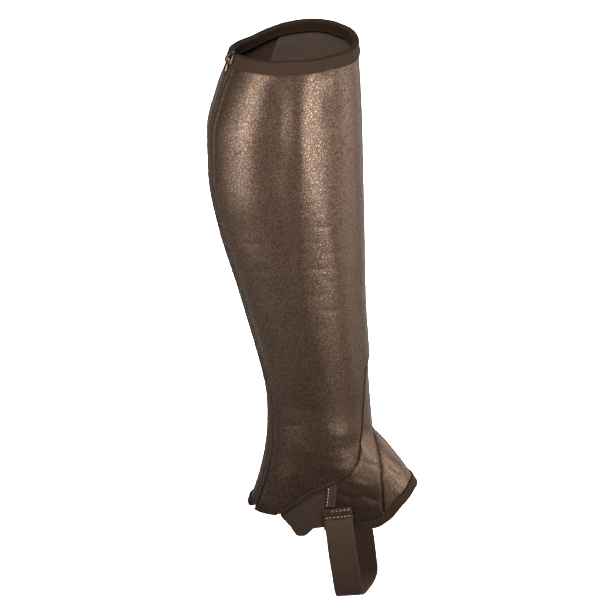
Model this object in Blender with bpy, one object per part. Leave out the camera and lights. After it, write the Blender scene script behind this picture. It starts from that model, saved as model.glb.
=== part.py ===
"""One half chap: a riding gaiter of synthetic leather, in the form it has when worn.

Frame: +X is the shin and toe side, -Y the outer side with the zip behind it, +Z up.
The origin is the middle of the hollow at the calf's fullest level.
A place on the leg is a turn in degrees (0 shin, -90 outer side, 90 inner side, 180 calf)
and a height. Sizes below are in millimetres; MM turns them into metres.
"""
import math
from collections import namedtuple

import bmesh
import bpy
from mathutils import Vector

MM = 0.001
GAP = 0.3

# The leg's skin, which is the outer face of the main panel
Section = namedtuple("Section", "height back front half_width")
SECTIONS = (
    Section(-365, -41.0, 147.5, 35.5),
    Section(-330, -29.0, 122.0, 37.6),
    Section(-306, -22.5, 107.4, 38.7),
    Section(-290, -19.5, 96.0, 38.7),
    Section(-281, -18.3, 88.9, 38.4),
    Section(-275, -17.7, 83.9, 38.2),
    Section(-268, -17.2, 79.3, 37.7),
    Section(-252, -16.9, 77.5, 36.9),
    Section(-235, -17.5, 76.1, 36.5),
    Section(-208, -22.0, 74.4, 38.0),
    Section(-130, -41.8, 69.7, 43.0),
    Section(-70, -58.5, 68.4, 47.0),
    Section(-20, -66.5, 67.0, 50.0),
    Section(20, -67.0, 66.0, 50.0),
    Section(60, -58.0, 64.3, 48.0),
    Section(90, -47.0, 62.2, 46.0),
    Section(110, -41.5, 60.8, 45.0),
)

# The largest soft folds, which run down the leg and end in a point
Fold = namedtuple("Fold", "top_turn low_turn top low spread depth")
FOLDS = (
    Fold(-92, -108, 112, -190, 13, 1.8),
    Fold(-58, -52, 112, 30, 9, 1.3),
    Fold(92, 106, 112, -170, 14, 1.6),
    Fold(40, 46, 112, 20, 10, 1.2),
)

# Edges drawn on the skin, as places from the shin round to the calf on either side
Place = namedtuple("Place", "turn height")
RIM = (
    Place(-156, 95.6), Place(-130, 97.6), Place(-90, 100.0), Place(-45, 101.2), Place(-20, 100.4),
    Place(0, 100.8), Place(20, 102.0), Place(40, 103.2), Place(60, 102.6), Place(84, 100.8),
    Place(99, 98.4), Place(112, 94.6), Place(136, 89.4), Place(158, 89.5), Place(180, 92.6),
    Place(206, 95.6),
)
PANEL_EDGE = (
    Place(0, -196.0), Place(12, -198.5), Place(22, -206.0), Place(27, -217.0), Place(32, -233.9),
    Place(36.5, -249.3), Place(40, -262.8), Place(45.5, -272.0), Place(55, -280.6), Place(64, -287.8),
    Place(73, -294.0), Place(82, -300.2), Place(91, -305.9), Place(101, -311.7), Place(111, -318.6),
    Place(118, -326.5), Place(132, -341.2), Place(150, -343.0), Place(206, -342.0),
)
VAMP_SEAM = (
    Place(0, -268.5), Place(6, -270.1), Place(14, -273.1), Place(22, -278.0), Place(32, -285.7),
    Place(39, -293.4), Place(46, -302.5), Place(51, -312.7), Place(56, -325.2), Place(60, -336.5),
    Place(65, -347.5),
)
VAMP_HEM = (
    Place(0, -322.5), Place(14, -323.2), Place(41, -331.8), Place(61, -345.6), Place(71, -351.1),
    Place(104, -353.3),
)
GUSSET_HEM = (
    Place(98, -350.7), Place(107, -353.3), Place(114, -362.2), Place(117, -362.4),
    Place(123, -353.4), Place(132, -343.4),
)

# Edges that run up the leg, as the turn at a height
OUTER_EDGE = (
    Place(-158, -345), Place(-151, -260), Place(-151, -225), Place(-157, -180), Place(-155, -100),
    Place(-159, -40), Place(-157.5, 10), Place(-157, 60), Place(-156.5, 100),
)
INNER_EDGE = (Place(150, -345), Place(140, -200), Place(128, -100), Place(114, 0), Place(102, 100))

# Layers of the wall, as distances out from the skin
Layer = namedtuple("Layer", "outer inner")
LEATHER = Layer(0.0, -1.6)
LINING = Layer(-1.9, -2.9)
STRETCH = Layer(-0.4, -1.6)
TAPE = Layer(-2.2, -2.9)
CHAIN = Layer(0.4, -1.6)
VAMP = Layer(-2.3, -3.6)
GUSSET = Layer(-2.2, -3.4)
SEAM_TAPE = Layer(-0.9, -1.9)

# Widths along the skin
LAP = 7.0
LAP_CLEAR = 2.0
ZIP_HALF_GAP = 4.2
TAPE_LAP = 13.0
LINING_CLEAR = 1.0
TAPE_BELOW_RIM = 6.0
TAPE_ABOVE_HEM = 1.5
CHAIN_HALF = 2.8
RIM_BINDING = 10.5
HEM_BINDING = 6.5
VAMP_BINDING = 7.0
BINDING_WALL = 1.0

# How finely the walls are divided
TURN_STEP = 9
FIRST_TURN = -126
FINE_TURNS = (31.5, 40.5, 49.5)
ROWS = 18
LOW_ROWS = 5

# Where the front pieces end, in degrees from the shin
GODET_END = 60.5
GUSSET_END = 131.5
VAMP_BACK = (Place(101.5, -353.0), Place(97.3, -306.0))
SEAM_TAPE_TOP = (87.8, 91.7, 95.6)
SEAM_TAPE_LOW = (92.4, 95.6, 98.8)

# Stirrup strap, flat elastic 25 mm wide, as the middle line of the band
STRAP_WIDTH = 25.0
STRAP_WALL = 1.4
STRAP_LINE = (
    (45.0, -36.6, -330.4), (45.9, -37.2, -337.4), (46.6, -38.6, -343.8), (47.8, -39.0, -354.6),
    (49.0, -38.8, -364.5), (51.2, -37.5, -382.5), (53.6, -33.5, -402.8), (55.7, -27.8, -418.4),
    (57.0, -23.2, -425.7), (59.0, -17.0, -428.6), (64.0, 0.0, -429.6), (69.0, 17.0, -428.6),
    (70.4, 23.2, -425.7), (69.4, 27.8, -418.4), (67.2, 33.5, -402.8), (63.4, 37.5, -382.5),
    (60.0, 38.8, -364.5), (58.3, 39.0, -354.6), (56.6, 38.6, -343.8), (55.5, 37.2, -337.4),
    (54.3, 36.6, -330.4),
)
STRAP_STEPS = 2
PATCH_LENGTH = 9.0
PATCH_WALL = 0.9

# Zip slider and pull tab
SLIDER_HEIGHT = 91.5
SLIDER_LENGTH = 11.0
SLIDER_HALF_LOW = 3.6
SLIDER_HALF_TOP = 4.3
SLIDER_FACE = 2.2
PIVOT_OUT = 3.6
BAIL_INSIDE = 4.4
BAIL_OUTSIDE = 5.4
BAIL_REACH = 3.7
BAIL_WALL = 1.1
BAIL_HALF = 0.9
PULL_HALF = 2.5
PULL_SIDE = 1.2
PULL_BAR = 0.5
PULL_EYE = 4.9
PULL_LENGTH = 13.5


def clear_scene():
    """Removes whatever the open file holds."""
    for item in list(bpy.data.objects):
        bpy.data.objects.remove(item, do_unlink=True)


def smooth(xs, ys, x):
    """A smooth curve through rising xs that never overshoots its points."""
    x = min(max(x, xs[0]), xs[-1])
    steps = [b - a for a, b in zip(xs, xs[1:])]
    rises = [(b - a) / step for a, b, step in zip(ys, ys[1:], steps)]
    slopes = [rises[0]]
    for before, after in zip(rises, rises[1:]):
        slopes.append(2 * before * after / (before + after) if before * after > 0 else 0.0)
    slopes.append(rises[-1])
    i = max(k for k in range(len(steps)) if x >= xs[k])
    step = steps[i]
    t = (x - xs[i]) / step
    return ((1 + 2 * t) * (1 - t) ** 2 * ys[i] + t * (1 - t) ** 2 * step * slopes[i]
            + t * t * (3 - 2 * t) * ys[i + 1] + t * t * (t - 1) * step * slopes[i + 1])


def edge_height(edge, turn):
    """Height of an edge table at a turn."""
    return smooth([p.turn for p in edge], [p.height for p in edge], turn)


def edge_turn(edge, height):
    """Turn of an upright edge table at a height."""
    return smooth([p.height for p in edge], [p.turn for p in edge], height)


def size_at(column, height):
    """One column of the section table at a height."""
    return smooth([s.height for s in SECTIONS], [getattr(s, column) for s in SECTIONS], height)


def fold_depth(turn, height):
    """How far the folds press the skin in at a place."""
    depth = 0.0
    for fold in FOLDS:
        along = (fold.top - height) / (fold.top - fold.low)
        if 0 < along < 1:
            middle = fold.top_turn + (fold.low_turn - fold.top_turn) * along
            across = (turn - middle) / fold.spread
            fade = math.sin(math.pi * min(1.0, 0.35 + 0.65 * along))
            depth += fold.depth * math.exp(-across * across) * fade
    return depth


def bare_skin(turn, height):
    """Point on the skin, in millimetres."""
    back = size_at("back", height)
    front = size_at("front", height)
    across = math.radians(turn)
    press = 1 - fold_depth(turn, height) / size_at("half_width", height)
    x = (back + front) / 2 + (front - back) / 2 * math.cos(across) * press
    y = size_at("half_width", height) * math.sin(across) * press
    return Vector((x, y, height))


def skin_normal(turn, height):
    """Outward normal of the skin."""
    around = bare_skin(turn + 0.5, height) - bare_skin(turn - 0.5, height)
    up = bare_skin(turn, height + 0.5) - bare_skin(turn, height - 0.5)
    return around.cross(up).normalized()


def skin(turn, height, out=0.0):
    """Point at a distance out from the skin, in millimetres."""
    return bare_skin(turn, height) + skin_normal(turn, height) * out


def shifted(turn, height, distance):
    """The turn that lies a distance along the skin from a place."""
    degree = (bare_skin(turn + 0.5, height) - bare_skin(turn - 0.5, height)).length
    return turn + distance / degree


def steep(edge, turn, distance):
    """Height change that gives a distance square to a sloping edge."""
    rise = edge_height(edge, turn + 1) - edge_height(edge, turn - 1)
    run = (bare_skin(turn + 1, -300) - bare_skin(turn - 1, -300)).length
    return distance * math.hypot(1, rise / run)


def material(name, colour, roughness, metallic=0.0):
    """A plain Principled material."""
    made = bpy.data.materials.new(name)
    made.use_nodes = True
    shader = made.node_tree.nodes["Principled BSDF"]
    shader.inputs["Base Color"].default_value = (*colour, 1.0)
    shader.inputs["Roughness"].default_value = roughness
    shader.inputs["Metallic"].default_value = metallic
    return made


def add_object(name, mesh, finish):
    """Places a finished mesh in the scene."""
    mesh.materials.append(finish)
    made = bpy.data.objects.new(name, mesh)
    bpy.context.scene.collection.objects.link(made)
    return made


def solid_from_grids(name, outer, inner, finish):
    """A closed wall between two grids of points, given row by row."""
    shape = bmesh.new()
    sides = []
    for grid in (outer, inner):
        sides.append([[shape.verts.new(point * MM) for point in row] for row in grid])
    rows = len(outer)
    columns = len(outer[0])
    for side in sides:
        for r in range(rows - 1):
            for c in range(columns - 1):
                shape.faces.new((side[r][c], side[r][c + 1], side[r + 1][c + 1], side[r + 1][c]))
    rim = [(0, c) for c in range(columns)] + [(r, columns - 1) for r in range(1, rows)]
    rim += [(rows - 1, c) for c in range(columns - 2, -1, -1)] + [(r, 0) for r in range(rows - 2, 0, -1)]
    for (r, c), (s, d) in zip(rim, rim[1:] + rim[:1]):
        shape.faces.new((sides[0][r][c], sides[0][s][d], sides[1][s][d], sides[1][r][c]))
    bmesh.ops.recalc_face_normals(shape, faces=shape.faces[:])
    mesh = bpy.data.meshes.new(name)
    shape.to_mesh(mesh)
    shape.free()
    mesh.shade_smooth()
    mesh.set_sharp_from_angle(angle=math.radians(50))
    return add_object(name, mesh, finish)


def wall(name, places, layer, finish):
    """A piece of cloth that follows the skin, from a grid of places."""
    outer = [[skin(turn, height, layer.outer) for turn, height in row] for row in places]
    inner = [[skin(turn, height, layer.inner) for turn, height in row] for row in places]
    return solid_from_grids(name, outer, inner, finish)


def sweep(name, rings, finish):
    """A closed bar from rings of points, with a flat face on each end."""
    shape = bmesh.new()
    loops = [[shape.verts.new(point * MM) for point in ring] for ring in rings]
    count = len(loops[0])
    for first, second in zip(loops, loops[1:]):
        for k in range(count):
            shape.faces.new((first[k], first[(k + 1) % count], second[(k + 1) % count], second[k]))
    shape.faces.new(loops[0])
    shape.faces.new(loops[-1])
    bmesh.ops.recalc_face_normals(shape, faces=shape.faces[:])
    mesh = bpy.data.meshes.new(name)
    shape.to_mesh(mesh)
    shape.free()
    mesh.shade_smooth()
    mesh.set_sharp_from_angle(angle=math.radians(50))
    return add_object(name, mesh, finish)


def zip_turn(height, distance):
    """Turn at a distance from the zip's middle; below zero is towards the outer side."""
    edge = edge_turn(OUTER_EDGE, height)
    return shifted(edge, height, -ZIP_HALF_GAP - distance)


def outer_margin(height, distance):
    """Turn inside the main panel at a distance from its edge on the zip."""
    return zip_turn(height, -ZIP_HALF_GAP - distance)


def inner_margin(height, distance):
    """Turn inside the stretch panel at a distance from its edge on the zip, past the calf."""
    return 360 + zip_turn(height, ZIP_HALF_GAP + distance)


def panel_columns():
    """Columns of the main panel, each as turn at a height and the turn that ends it."""
    columns = []
    for distance in (0.0, TAPE_LAP / 2, TAPE_LAP + LINING_CLEAR):
        columns.append((lambda height, d=distance: outer_margin(height, d), -156 + distance))
    columns.append((lambda height: (outer_margin(height, TAPE_LAP + LINING_CLEAR) + FIRST_TURN) / 2, -134))
    turns = list(range(FIRST_TURN, 91, TURN_STEP)) + [side * t for t in FINE_TURNS for side in (-1, 1)]
    for turn in sorted(turns):
        columns.append((lambda height, t=turn: t, turn))
    steps = 5
    for step in range(1, steps + 1):
        share = step / steps
        columns.append((lambda height, s=share: 90 + s * (edge_turn(INNER_EDGE, height) - 90),
                        90 + 60 * share))
    return columns


def stretch_columns():
    """Columns of the stretch panel, from the seam with the main panel to the zip."""
    columns = []
    steps = 7
    for step in range(steps):
        share = step / steps

        def turn_at(height, s=share):
            start = shifted(edge_turn(INNER_EDGE, height), height, GAP)
            return start + s * (inner_margin(height, TAPE_LAP + GAP) - start)

        columns.append((turn_at, 150 + 40 * share))
    for distance in (TAPE_LAP + GAP, TAPE_LAP / 2, 0.0):
        columns.append((lambda height, d=distance: inner_margin(height, d), 204 - distance))
    return columns


def column_heights(top_turn, low_turn):
    """Heights of a column from the rim to the lower edge, with rows at the binding and the lap."""
    rim = edge_height(RIM, top_turn)
    top = rim - RIM_BINDING
    low = edge_height(PANEL_EDGE, abs(low_turn))
    heights = [top + (low + LAP - top) * k / (ROWS - 1) for k in range(ROWS)]
    return [rim] + heights + [low + LAP - LAP_CLEAR, low]


def leg_places(columns):
    """Grid of places for columns that run from the rim to the panel's lower edge."""
    grid = []
    for turn_at, low_turn in columns:
        top_turn = turn_at(edge_height(RIM, low_turn))
        grid.append([(turn_at(h), h) for h in column_heights(top_turn, low_turn)])
    return [list(row) for row in zip(*grid)]


def make_main_panel(finish):
    """The outer wrap, cut in one, from the zip round the shin to the stretch panel."""
    places = leg_places(panel_columns())
    wall("main_panel", places, LEATHER, finish)
    return places


def make_lining(main_places, finish):
    """The brushed lining, which stops at the zip tape and above the lapped seams."""
    places = [row[2:] for row in main_places[:-2]]
    wall("lining", places, LINING, finish)


def make_stretch_panel(finish):
    """The elastic panel between the main panel and the zip."""
    places = leg_places(stretch_columns())
    wall("stretch_panel", places, STRETCH, finish)
    return places


def zip_places(distances, heights):
    """Grid of places beside the zip's middle line."""
    return [[(zip_turn(h, d), h) for d in distances] for h in heights]


def make_zip(main_places, tape_finish, chain_finish):
    """Two tapes under the panels' edges, with the closed chain on them."""
    heights = [row[0][1] for row in main_places]
    heights = [heights[0] - TAPE_BELOW_RIM] + heights[1:-1] + [heights[-1] + TAPE_ABOVE_HEM]
    edge = (GAP / 2, ZIP_HALF_GAP, ZIP_HALF_GAP + TAPE_LAP / 2, ZIP_HALF_GAP + TAPE_LAP)
    wall("zip_tape_outer", zip_places([-d for d in edge], heights), TAPE, tape_finish)
    wall("zip_tape_inner", zip_places(edge, heights), TAPE, tape_finish)
    chain_top = SLIDER_HEIGHT - SLIDER_LENGTH / 2 - GAP
    chain = [chain_top] + [h for h in heights if h < chain_top]
    wall("zip_chain", zip_places((-CHAIN_HALF, 0.0, CHAIN_HALF), chain), CHAIN, chain_finish)


def fold_over(name, stops, layer, depth, lip, finish):
    """A ribbon folded over an edge.

    stops are places on the edge, layer is what it covers, depth is how far it reaches back
    over each face and lip says which way off the edge is: 1 up, -1 down.
    """
    near = layer.outer + GAP
    far = layer.inner - GAP
    wide = BINDING_WALL
    section = (
        (near, -depth), (near + wide, -depth), (near + wide, 0.6), (near + wide / 2, GAP + wide),
        (far - wide / 2, GAP + wide), (far - wide, 0.6), (far - wide, 1 - depth), (far, 1 - depth),
        (far, GAP), (near, GAP),
    )
    rings = []
    for turn, height in stops:
        rings.append([skin(turn, height + lip * off, out) for out, off in section])
    sweep(name, rings, finish)


def make_rim_binding(main_places, stretch_places, finish):
    """The ribbon round the rim, open at the zip."""
    start = main_places[0][0]
    stops = [(shifted(start[0], start[1], 1.0), start[1])] + main_places[0][1:] + stretch_places[0][1:-1]
    end = stretch_places[0][-1]
    stops.append((shifted(end[0], end[1], -1.0), end[1]))
    fold_over("rim_binding", stops, Layer(LEATHER.outer, LINING.inner), RIM_BINDING, 1, finish)


def make_hem_bindings(main_places, stretch_places, finish):
    """The ribbons on the back of the hem, between the gussets and the zip."""
    hem = main_places[-1]
    outer = hem[:4]
    covered = Layer(LEATHER.outer, TAPE.inner)
    fold_over("hem_binding_outer", outer, covered, HEM_BINDING, -1, finish)
    inner = [place for place in hem if place[0] > 134.0]
    inner = [(134.0, edge_height(PANEL_EDGE, 134.0))] + inner + stretch_places[-1][1:]
    fold_over("hem_binding_inner", inner, covered, HEM_BINDING, -1, finish)


def low_rows(turn, low):
    """Heights of a front piece: under the lap, at the panel's edge, then down to its own edge."""
    edge = edge_height(PANEL_EDGE, abs(turn))
    return [edge + LAP - LAP_CLEAR] + [edge + (low - edge) * k / LOW_ROWS for k in range(LOW_ROWS + 1)]


def vamp_turns():
    """Turns of the columns across one side of the vamp, between the shin and its back edge."""
    front = sorted(list(range(TURN_STEP, 55, TURN_STEP)) + list(FINE_TURNS))
    return front + [GODET_END] + list(range(63, 91, TURN_STEP))


def vamp_low(turn):
    """Lower edge of the vamp: the seam with the godet, then the hem."""
    if abs(turn) <= GODET_END:
        return edge_height(VAMP_SEAM, abs(turn))
    return edge_height(VAMP_HEM, abs(turn))


def make_vamps(finish):
    """The shaped pieces over the ankle on each side, which meet at the shin."""
    turns = [shifted(0, -230, GAP / 2)] + vamp_turns()
    for side, name in ((-1, "vamp_outer"), (1, "vamp_inner")):
        grid = [[(side * t, h) for h in low_rows(t, vamp_low(t))] for t in turns]
        back = VAMP_BACK[0].turn
        grid.append([(side * (edge_turn(VAMP_BACK, h) - 0.2), h) for h in low_rows(back, vamp_low(back))])
        wall(name, [list(row) for row in zip(*grid)], VAMP, finish)


def make_godet(finish):
    """The flared piece let into the front over the instep."""
    end = shifted(GODET_END, -338, -GAP)
    half = [t for t in vamp_turns() if t < GODET_END]
    turns = [-end] + [-t for t in reversed(half)] + [0] + half + [end]
    grid = []
    for turn in turns:
        top = edge_height(VAMP_SEAM, abs(turn)) - steep(VAMP_SEAM, abs(turn) + 1, GAP)
        low = edge_height(VAMP_HEM, abs(turn))
        grid.append([(turn, top + (low - top) * k / LOW_ROWS) for k in range(LOW_ROWS + 1)])
    wall("vamp_godet", [list(row) for row in zip(*grid)], VAMP, finish)


def make_vamp_binding(finish):
    """The ribbon on the flared hem, from one gusset round the front to the other."""
    half = [0] + vamp_turns() + [VAMP_BACK[0].turn - 0.2]
    turns = [-t for t in reversed(half)] + half[1:]
    stops = [(t, edge_height(VAMP_HEM, abs(t))) for t in turns]
    fold_over("vamp_binding", stops, VAMP, VAMP_BINDING, -1, finish)


def make_gussets(finish):
    """The ribbed elastic gussets at the sides of the ankle."""
    turns = (108, 114, 117, 126, GUSSET_END)
    for side, name in ((-1, "gusset_outer"), (1, "gusset_inner")):
        front = low_rows(VAMP_BACK[0].turn, edge_height(GUSSET_HEM, VAMP_BACK[0].turn))
        grid = [[(side * (edge_turn(VAMP_BACK, h) + 0.4), h) for h in front]]
        grid += [[(side * t, h) for h in low_rows(t, edge_height(GUSSET_HEM, t))] for t in turns]
        wall(name, [list(row) for row in zip(*grid)], GUSSET, finish)


def make_seam_tapes(finish):
    """The short upright tapes over the seam between gusset and vamp."""
    low = STRAP_LINE[0][2] + 1.5
    for side, name in ((-1, "seam_tape_outer"), (1, "seam_tape_inner")):
        grid = []
        for top_turn, low_turn in zip(SEAM_TAPE_TOP, SEAM_TAPE_LOW):
            top = edge_height(PANEL_EDGE, top_turn) - 2 * GAP
            grid.append([(side * (top_turn + (low_turn - top_turn) * k / 3), top + (low - top) * k / 3)
                         for k in range(4)])
        wall(name, [list(row) for row in zip(*grid)], SEAM_TAPE, finish)


def curve_point(points, place):
    """Point on a smooth curve through points, at a place counted in points."""
    i = min(int(place), len(points) - 2)
    t = place - i
    near = [Vector(points[min(max(k, 0), len(points) - 1)]) for k in (i - 1, i, i + 1, i + 2)]
    return 0.5 * (2 * near[1] + (near[2] - near[0]) * t
                  + (2 * near[0] - 5 * near[1] + 4 * near[2] - near[3]) * t * t
                  + (3 * near[1] - near[0] - 3 * near[2] + near[3]) * t ** 3)


def strap_frame(place):
    """Middle, width direction and outward direction of the strap at a place along it."""
    last = len(STRAP_LINE) - 1
    middle = curve_point(STRAP_LINE, place)
    run = curve_point(STRAP_LINE, min(place + 0.1, last)) - curve_point(STRAP_LINE, max(place - 0.1, 0))
    run.normalize()
    out = Vector((0, middle.y, min(0.0, middle.z + 405)))
    out = (out - run * out.dot(run)).normalized()
    across = run.cross(out).normalized()
    if across.x < 0:
        across.negate()
    return middle, across, out


def band(name, places, width, middle_out, thickness, finish):
    """A flat band that follows the strap's line."""
    rings = []
    for place in places:
        middle, across, out = strap_frame(place)
        side = across * width / 2
        high = middle + out * (middle_out + thickness / 2)
        low = middle + out * (middle_out - thickness / 2)
        rings.append([high - side, high, high + side, low + side, low, low - side])
    sweep(name, rings, finish)


def make_strap(strap_finish, patch_finish):
    """The elastic strap under the foot, and the leather patches over its ends."""
    last = len(STRAP_LINE) - 1
    count = last * STRAP_STEPS
    band("stirrup_strap", [last * k / count for k in range(count + 1)], STRAP_WIDTH, 0, STRAP_WALL,
         strap_finish)
    share = PATCH_LENGTH / (Vector(STRAP_LINE[1]) - Vector(STRAP_LINE[0])).length
    above = STRAP_WALL / 2 + GAP + PATCH_WALL / 2
    places = [share * k / 2 for k in range(3)]
    band("strap_patch_outer", places, STRAP_WIDTH, above, PATCH_WALL, patch_finish)
    places = [last - place for place in places]
    band("strap_patch_inner", places, STRAP_WIDTH, above, PATCH_WALL, patch_finish)


def slider_frame():
    """Place of the zip's slider: its foot, the way out, down the zip and across it."""
    foot = skin(zip_turn(SLIDER_HEIGHT, 0.0), SLIDER_HEIGHT)
    out = skin_normal(zip_turn(SLIDER_HEIGHT, 0.0), SLIDER_HEIGHT)
    low = SLIDER_HEIGHT - SLIDER_LENGTH
    down = skin(zip_turn(low, 0.0), low) - foot
    down = (down - out * down.dot(out)).normalized()
    return foot, out, down, out.cross(down)


def block(frame, across, along, high):
    """Eight corners of a block, from its limits across, along and out."""
    foot, out, down, side = frame
    corners = []
    for n in high:
        for s, d in ((0, 0), (1, 0), (1, 1), (0, 1)):
            corners.append(foot + side * across[s] + down * along[d] + out * n)
    return corners


def block_mesh(name, corners):
    """A closed block from its eight corners."""
    shape = bmesh.new()
    verts = [shape.verts.new(corner * MM) for corner in corners]
    for face in ((0, 1, 2, 3), (4, 5, 6, 7), (0, 1, 5, 4), (1, 2, 6, 5), (2, 3, 7, 6), (3, 0, 4, 7)):
        shape.faces.new([verts[k] for k in face])
    bmesh.ops.recalc_face_normals(shape, faces=shape.faces[:])
    mesh = bpy.data.meshes.new(name)
    shape.to_mesh(mesh)
    shape.free()
    return mesh


def cutter(name, corners):
    """A hidden block that a Boolean uses."""
    made = bpy.data.objects.new(name, block_mesh(name, corners))
    bpy.context.scene.collection.objects.link(made)
    made.hide_render = True
    made.display_type = "WIRE"
    return made


def combine(target, other, operation):
    """Adds an exact Boolean to an object."""
    change = target.modifiers.new(operation.title(), "BOOLEAN")
    change.operation = operation
    change.solver = "EXACT"
    change.object = other


def make_slider(finish):
    """The slider's body with the bail that holds the pull tab."""
    frame = slider_frame()
    half = SLIDER_LENGTH / 2
    low = block(frame, (-SLIDER_HALF_LOW, SLIDER_HALF_LOW), (-half, half), (CHAIN.inner, 0.8))
    body = add_object("zip_slider", block_mesh("zip_slider", low), finish)
    top = block(frame, (-SLIDER_HALF_TOP, SLIDER_HALF_TOP), (-half + 0.4, half - 0.4), (0.6, SLIDER_FACE))
    bail = block(frame, (-BAIL_HALF, BAIL_HALF), (-BAIL_REACH, BAIL_REACH), (SLIDER_FACE - 0.4, BAIL_OUTSIDE))
    room = BAIL_REACH - BAIL_WALL
    hole = block(frame, (-BAIL_HALF - 1, BAIL_HALF + 1), (-room, room), (SLIDER_FACE, BAIL_INSIDE))
    combine(body, cutter("slider_plate", top), "UNION")
    combine(body, cutter("slider_bail", bail), "UNION")
    combine(body, cutter("slider_hole", hole), "DIFFERENCE")
    return frame


def make_pull(frame, finish):
    """The pull tab, hanging from the bail; its object's origin is on its hinge."""
    foot, out, down, side = frame
    pivot = foot + out * PIVOT_OUT
    level = (pivot, out, down, side)
    plate = block(level, (-PULL_HALF, PULL_HALF), (-PULL_BAR, PULL_LENGTH), (-PULL_BAR, PULL_BAR))
    eye = block(level, (PULL_SIDE - PULL_HALF, PULL_HALF - PULL_SIDE), (PULL_BAR, PULL_EYE),
                (-PULL_BAR - 1, PULL_BAR + 1))
    mesh = block_mesh("zip_pull", [corner - pivot for corner in plate])
    pull = add_object("zip_pull", mesh, finish)
    pull.location = pivot * MM
    combine(pull, cutter("pull_eye", eye), "DIFFERENCE")


def main():
    """Builds every piece of the half chap."""
    clear_scene()
    leather = material("brown synthetic leather", (0.13, 0.065, 0.04), 0.42)
    godet_leather = material("brown godet leather", (0.13, 0.065, 0.04), 0.42)
    vamp_leather = material("brown vamp leather", (0.12, 0.06, 0.036), 0.42)
    lining = material("brushed lining", (0.10, 0.062, 0.045), 0.95)
    elastic = material("dark brown elastic", (0.035, 0.02, 0.015), 0.85)
    ribbed = material("ribbed gusset elastic", (0.045, 0.026, 0.02), 0.85)
    ribbon = material("dark brown binding", (0.03, 0.017, 0.012), 0.8)
    tape = material("zip tape", (0.03, 0.017, 0.012), 0.85)
    chain = material("zip chain", (0.02, 0.012, 0.01), 0.5)
    metal = material("zip metal", (0.55, 0.5, 0.45), 0.3, 1.0)

    main_places = make_main_panel(leather)
    make_lining(main_places, lining)
    stretch_places = make_stretch_panel(elastic)
    make_zip(main_places, tape, chain)
    make_rim_binding(main_places, stretch_places, ribbon)
    make_hem_bindings(main_places, stretch_places, ribbon)
    make_vamps(vamp_leather)
    make_godet(godet_leather)
    make_vamp_binding(ribbon)
    make_gussets(ribbed)
    make_seam_tapes(ribbon)
    make_strap(elastic, vamp_leather)
    make_pull(make_slider(metal), metal)


main()
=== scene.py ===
"""Looks of one half chap: a riding gaiter of brown synthetic leather, in the form it has when worn.

A place on the leg is a turn in degrees (0 shin, -90 outer side, 90 inner side, 180 calf)
and a height. Sizes are in millimetres; MM turns them into metres. Every cloth piece is a
thin shell that follows the same skin as its solid, with its folds, ribs and seams.
"""
import math
from collections import namedtuple

import bpy
import numpy as np
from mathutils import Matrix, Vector


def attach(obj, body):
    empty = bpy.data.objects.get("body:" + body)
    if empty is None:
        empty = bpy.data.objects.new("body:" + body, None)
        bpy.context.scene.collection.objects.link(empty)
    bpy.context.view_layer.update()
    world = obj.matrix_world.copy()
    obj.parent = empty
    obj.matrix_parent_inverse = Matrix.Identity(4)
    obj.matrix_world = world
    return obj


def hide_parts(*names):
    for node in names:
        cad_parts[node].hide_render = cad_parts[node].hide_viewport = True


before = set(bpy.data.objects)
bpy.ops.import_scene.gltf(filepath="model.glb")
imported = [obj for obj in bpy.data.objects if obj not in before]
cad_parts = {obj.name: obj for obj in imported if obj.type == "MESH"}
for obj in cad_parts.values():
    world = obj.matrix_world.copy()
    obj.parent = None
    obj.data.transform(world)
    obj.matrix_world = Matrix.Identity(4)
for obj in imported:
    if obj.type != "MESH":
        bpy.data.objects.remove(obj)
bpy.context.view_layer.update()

MM = 0.001
rng = np.random.default_rng(7)


def curve(pairs):
    """A smooth curve through pairs of a place and a value, which never overshoots them."""
    xs, ys = np.array(pairs, float).T
    step = np.diff(xs)
    rise = np.diff(ys) / step
    same = rise[:-1] * rise[1:] > 0
    total = np.where(same, rise[:-1] + rise[1:], 1.0)
    inner = np.where(same, 2 * rise[:-1] * rise[1:] / total, 0.0)
    slope = np.concatenate(([rise[0]], inner, [rise[-1]]))

    def at(x):
        x = np.clip(x, xs[0], xs[-1])
        i = np.clip(np.searchsorted(xs, x, side="right") - 1, 0, len(step) - 1)
        t = (x - xs[i]) / step[i]
        return ((1 + 2 * t) * (1 - t) ** 2 * ys[i] + t * (1 - t) ** 2 * step[i] * slope[i]
                + t * t * (3 - 2 * t) * ys[i + 1] + t * t * (t - 1) * step[i] * slope[i + 1])

    return at


# The leg's skin, which is the outer face of the main panel: height, back, front, half width
SECTIONS = (
    (-365, -41.0, 147.5, 35.5), (-330, -29.0, 122.0, 37.6), (-306, -22.5, 107.4, 38.7),
    (-290, -19.5, 96.0, 38.7), (-281, -18.3, 88.9, 38.4), (-275, -17.7, 83.9, 38.2),
    (-268, -17.2, 79.3, 37.7), (-252, -16.9, 77.5, 36.9), (-235, -17.5, 76.1, 36.5),
    (-208, -22.0, 74.4, 38.0), (-130, -41.8, 69.7, 43.0), (-70, -58.5, 68.4, 47.0),
    (-20, -66.5, 67.0, 50.0), (20, -67.0, 66.0, 50.0), (60, -58.0, 64.3, 48.0),
    (90, -47.0, 62.2, 46.0), (110, -41.5, 60.8, 45.0),
)
back_at, front_at, half_width_at = (curve([(place[0], place[k]) for place in SECTIONS]) for k in (1, 2, 3))

# Soft folds that run down the leg to a point: turn at the top and foot, height of both, spread, depth
FOLDS = (
    (-92, -108, 112, -190, 13, 1.8), (-58, -52, 112, 30, 9, 1.3), (92, 106, 112, -170, 14, 1.6),
    (40, 46, 112, 20, 10, 1.2),
)

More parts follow.
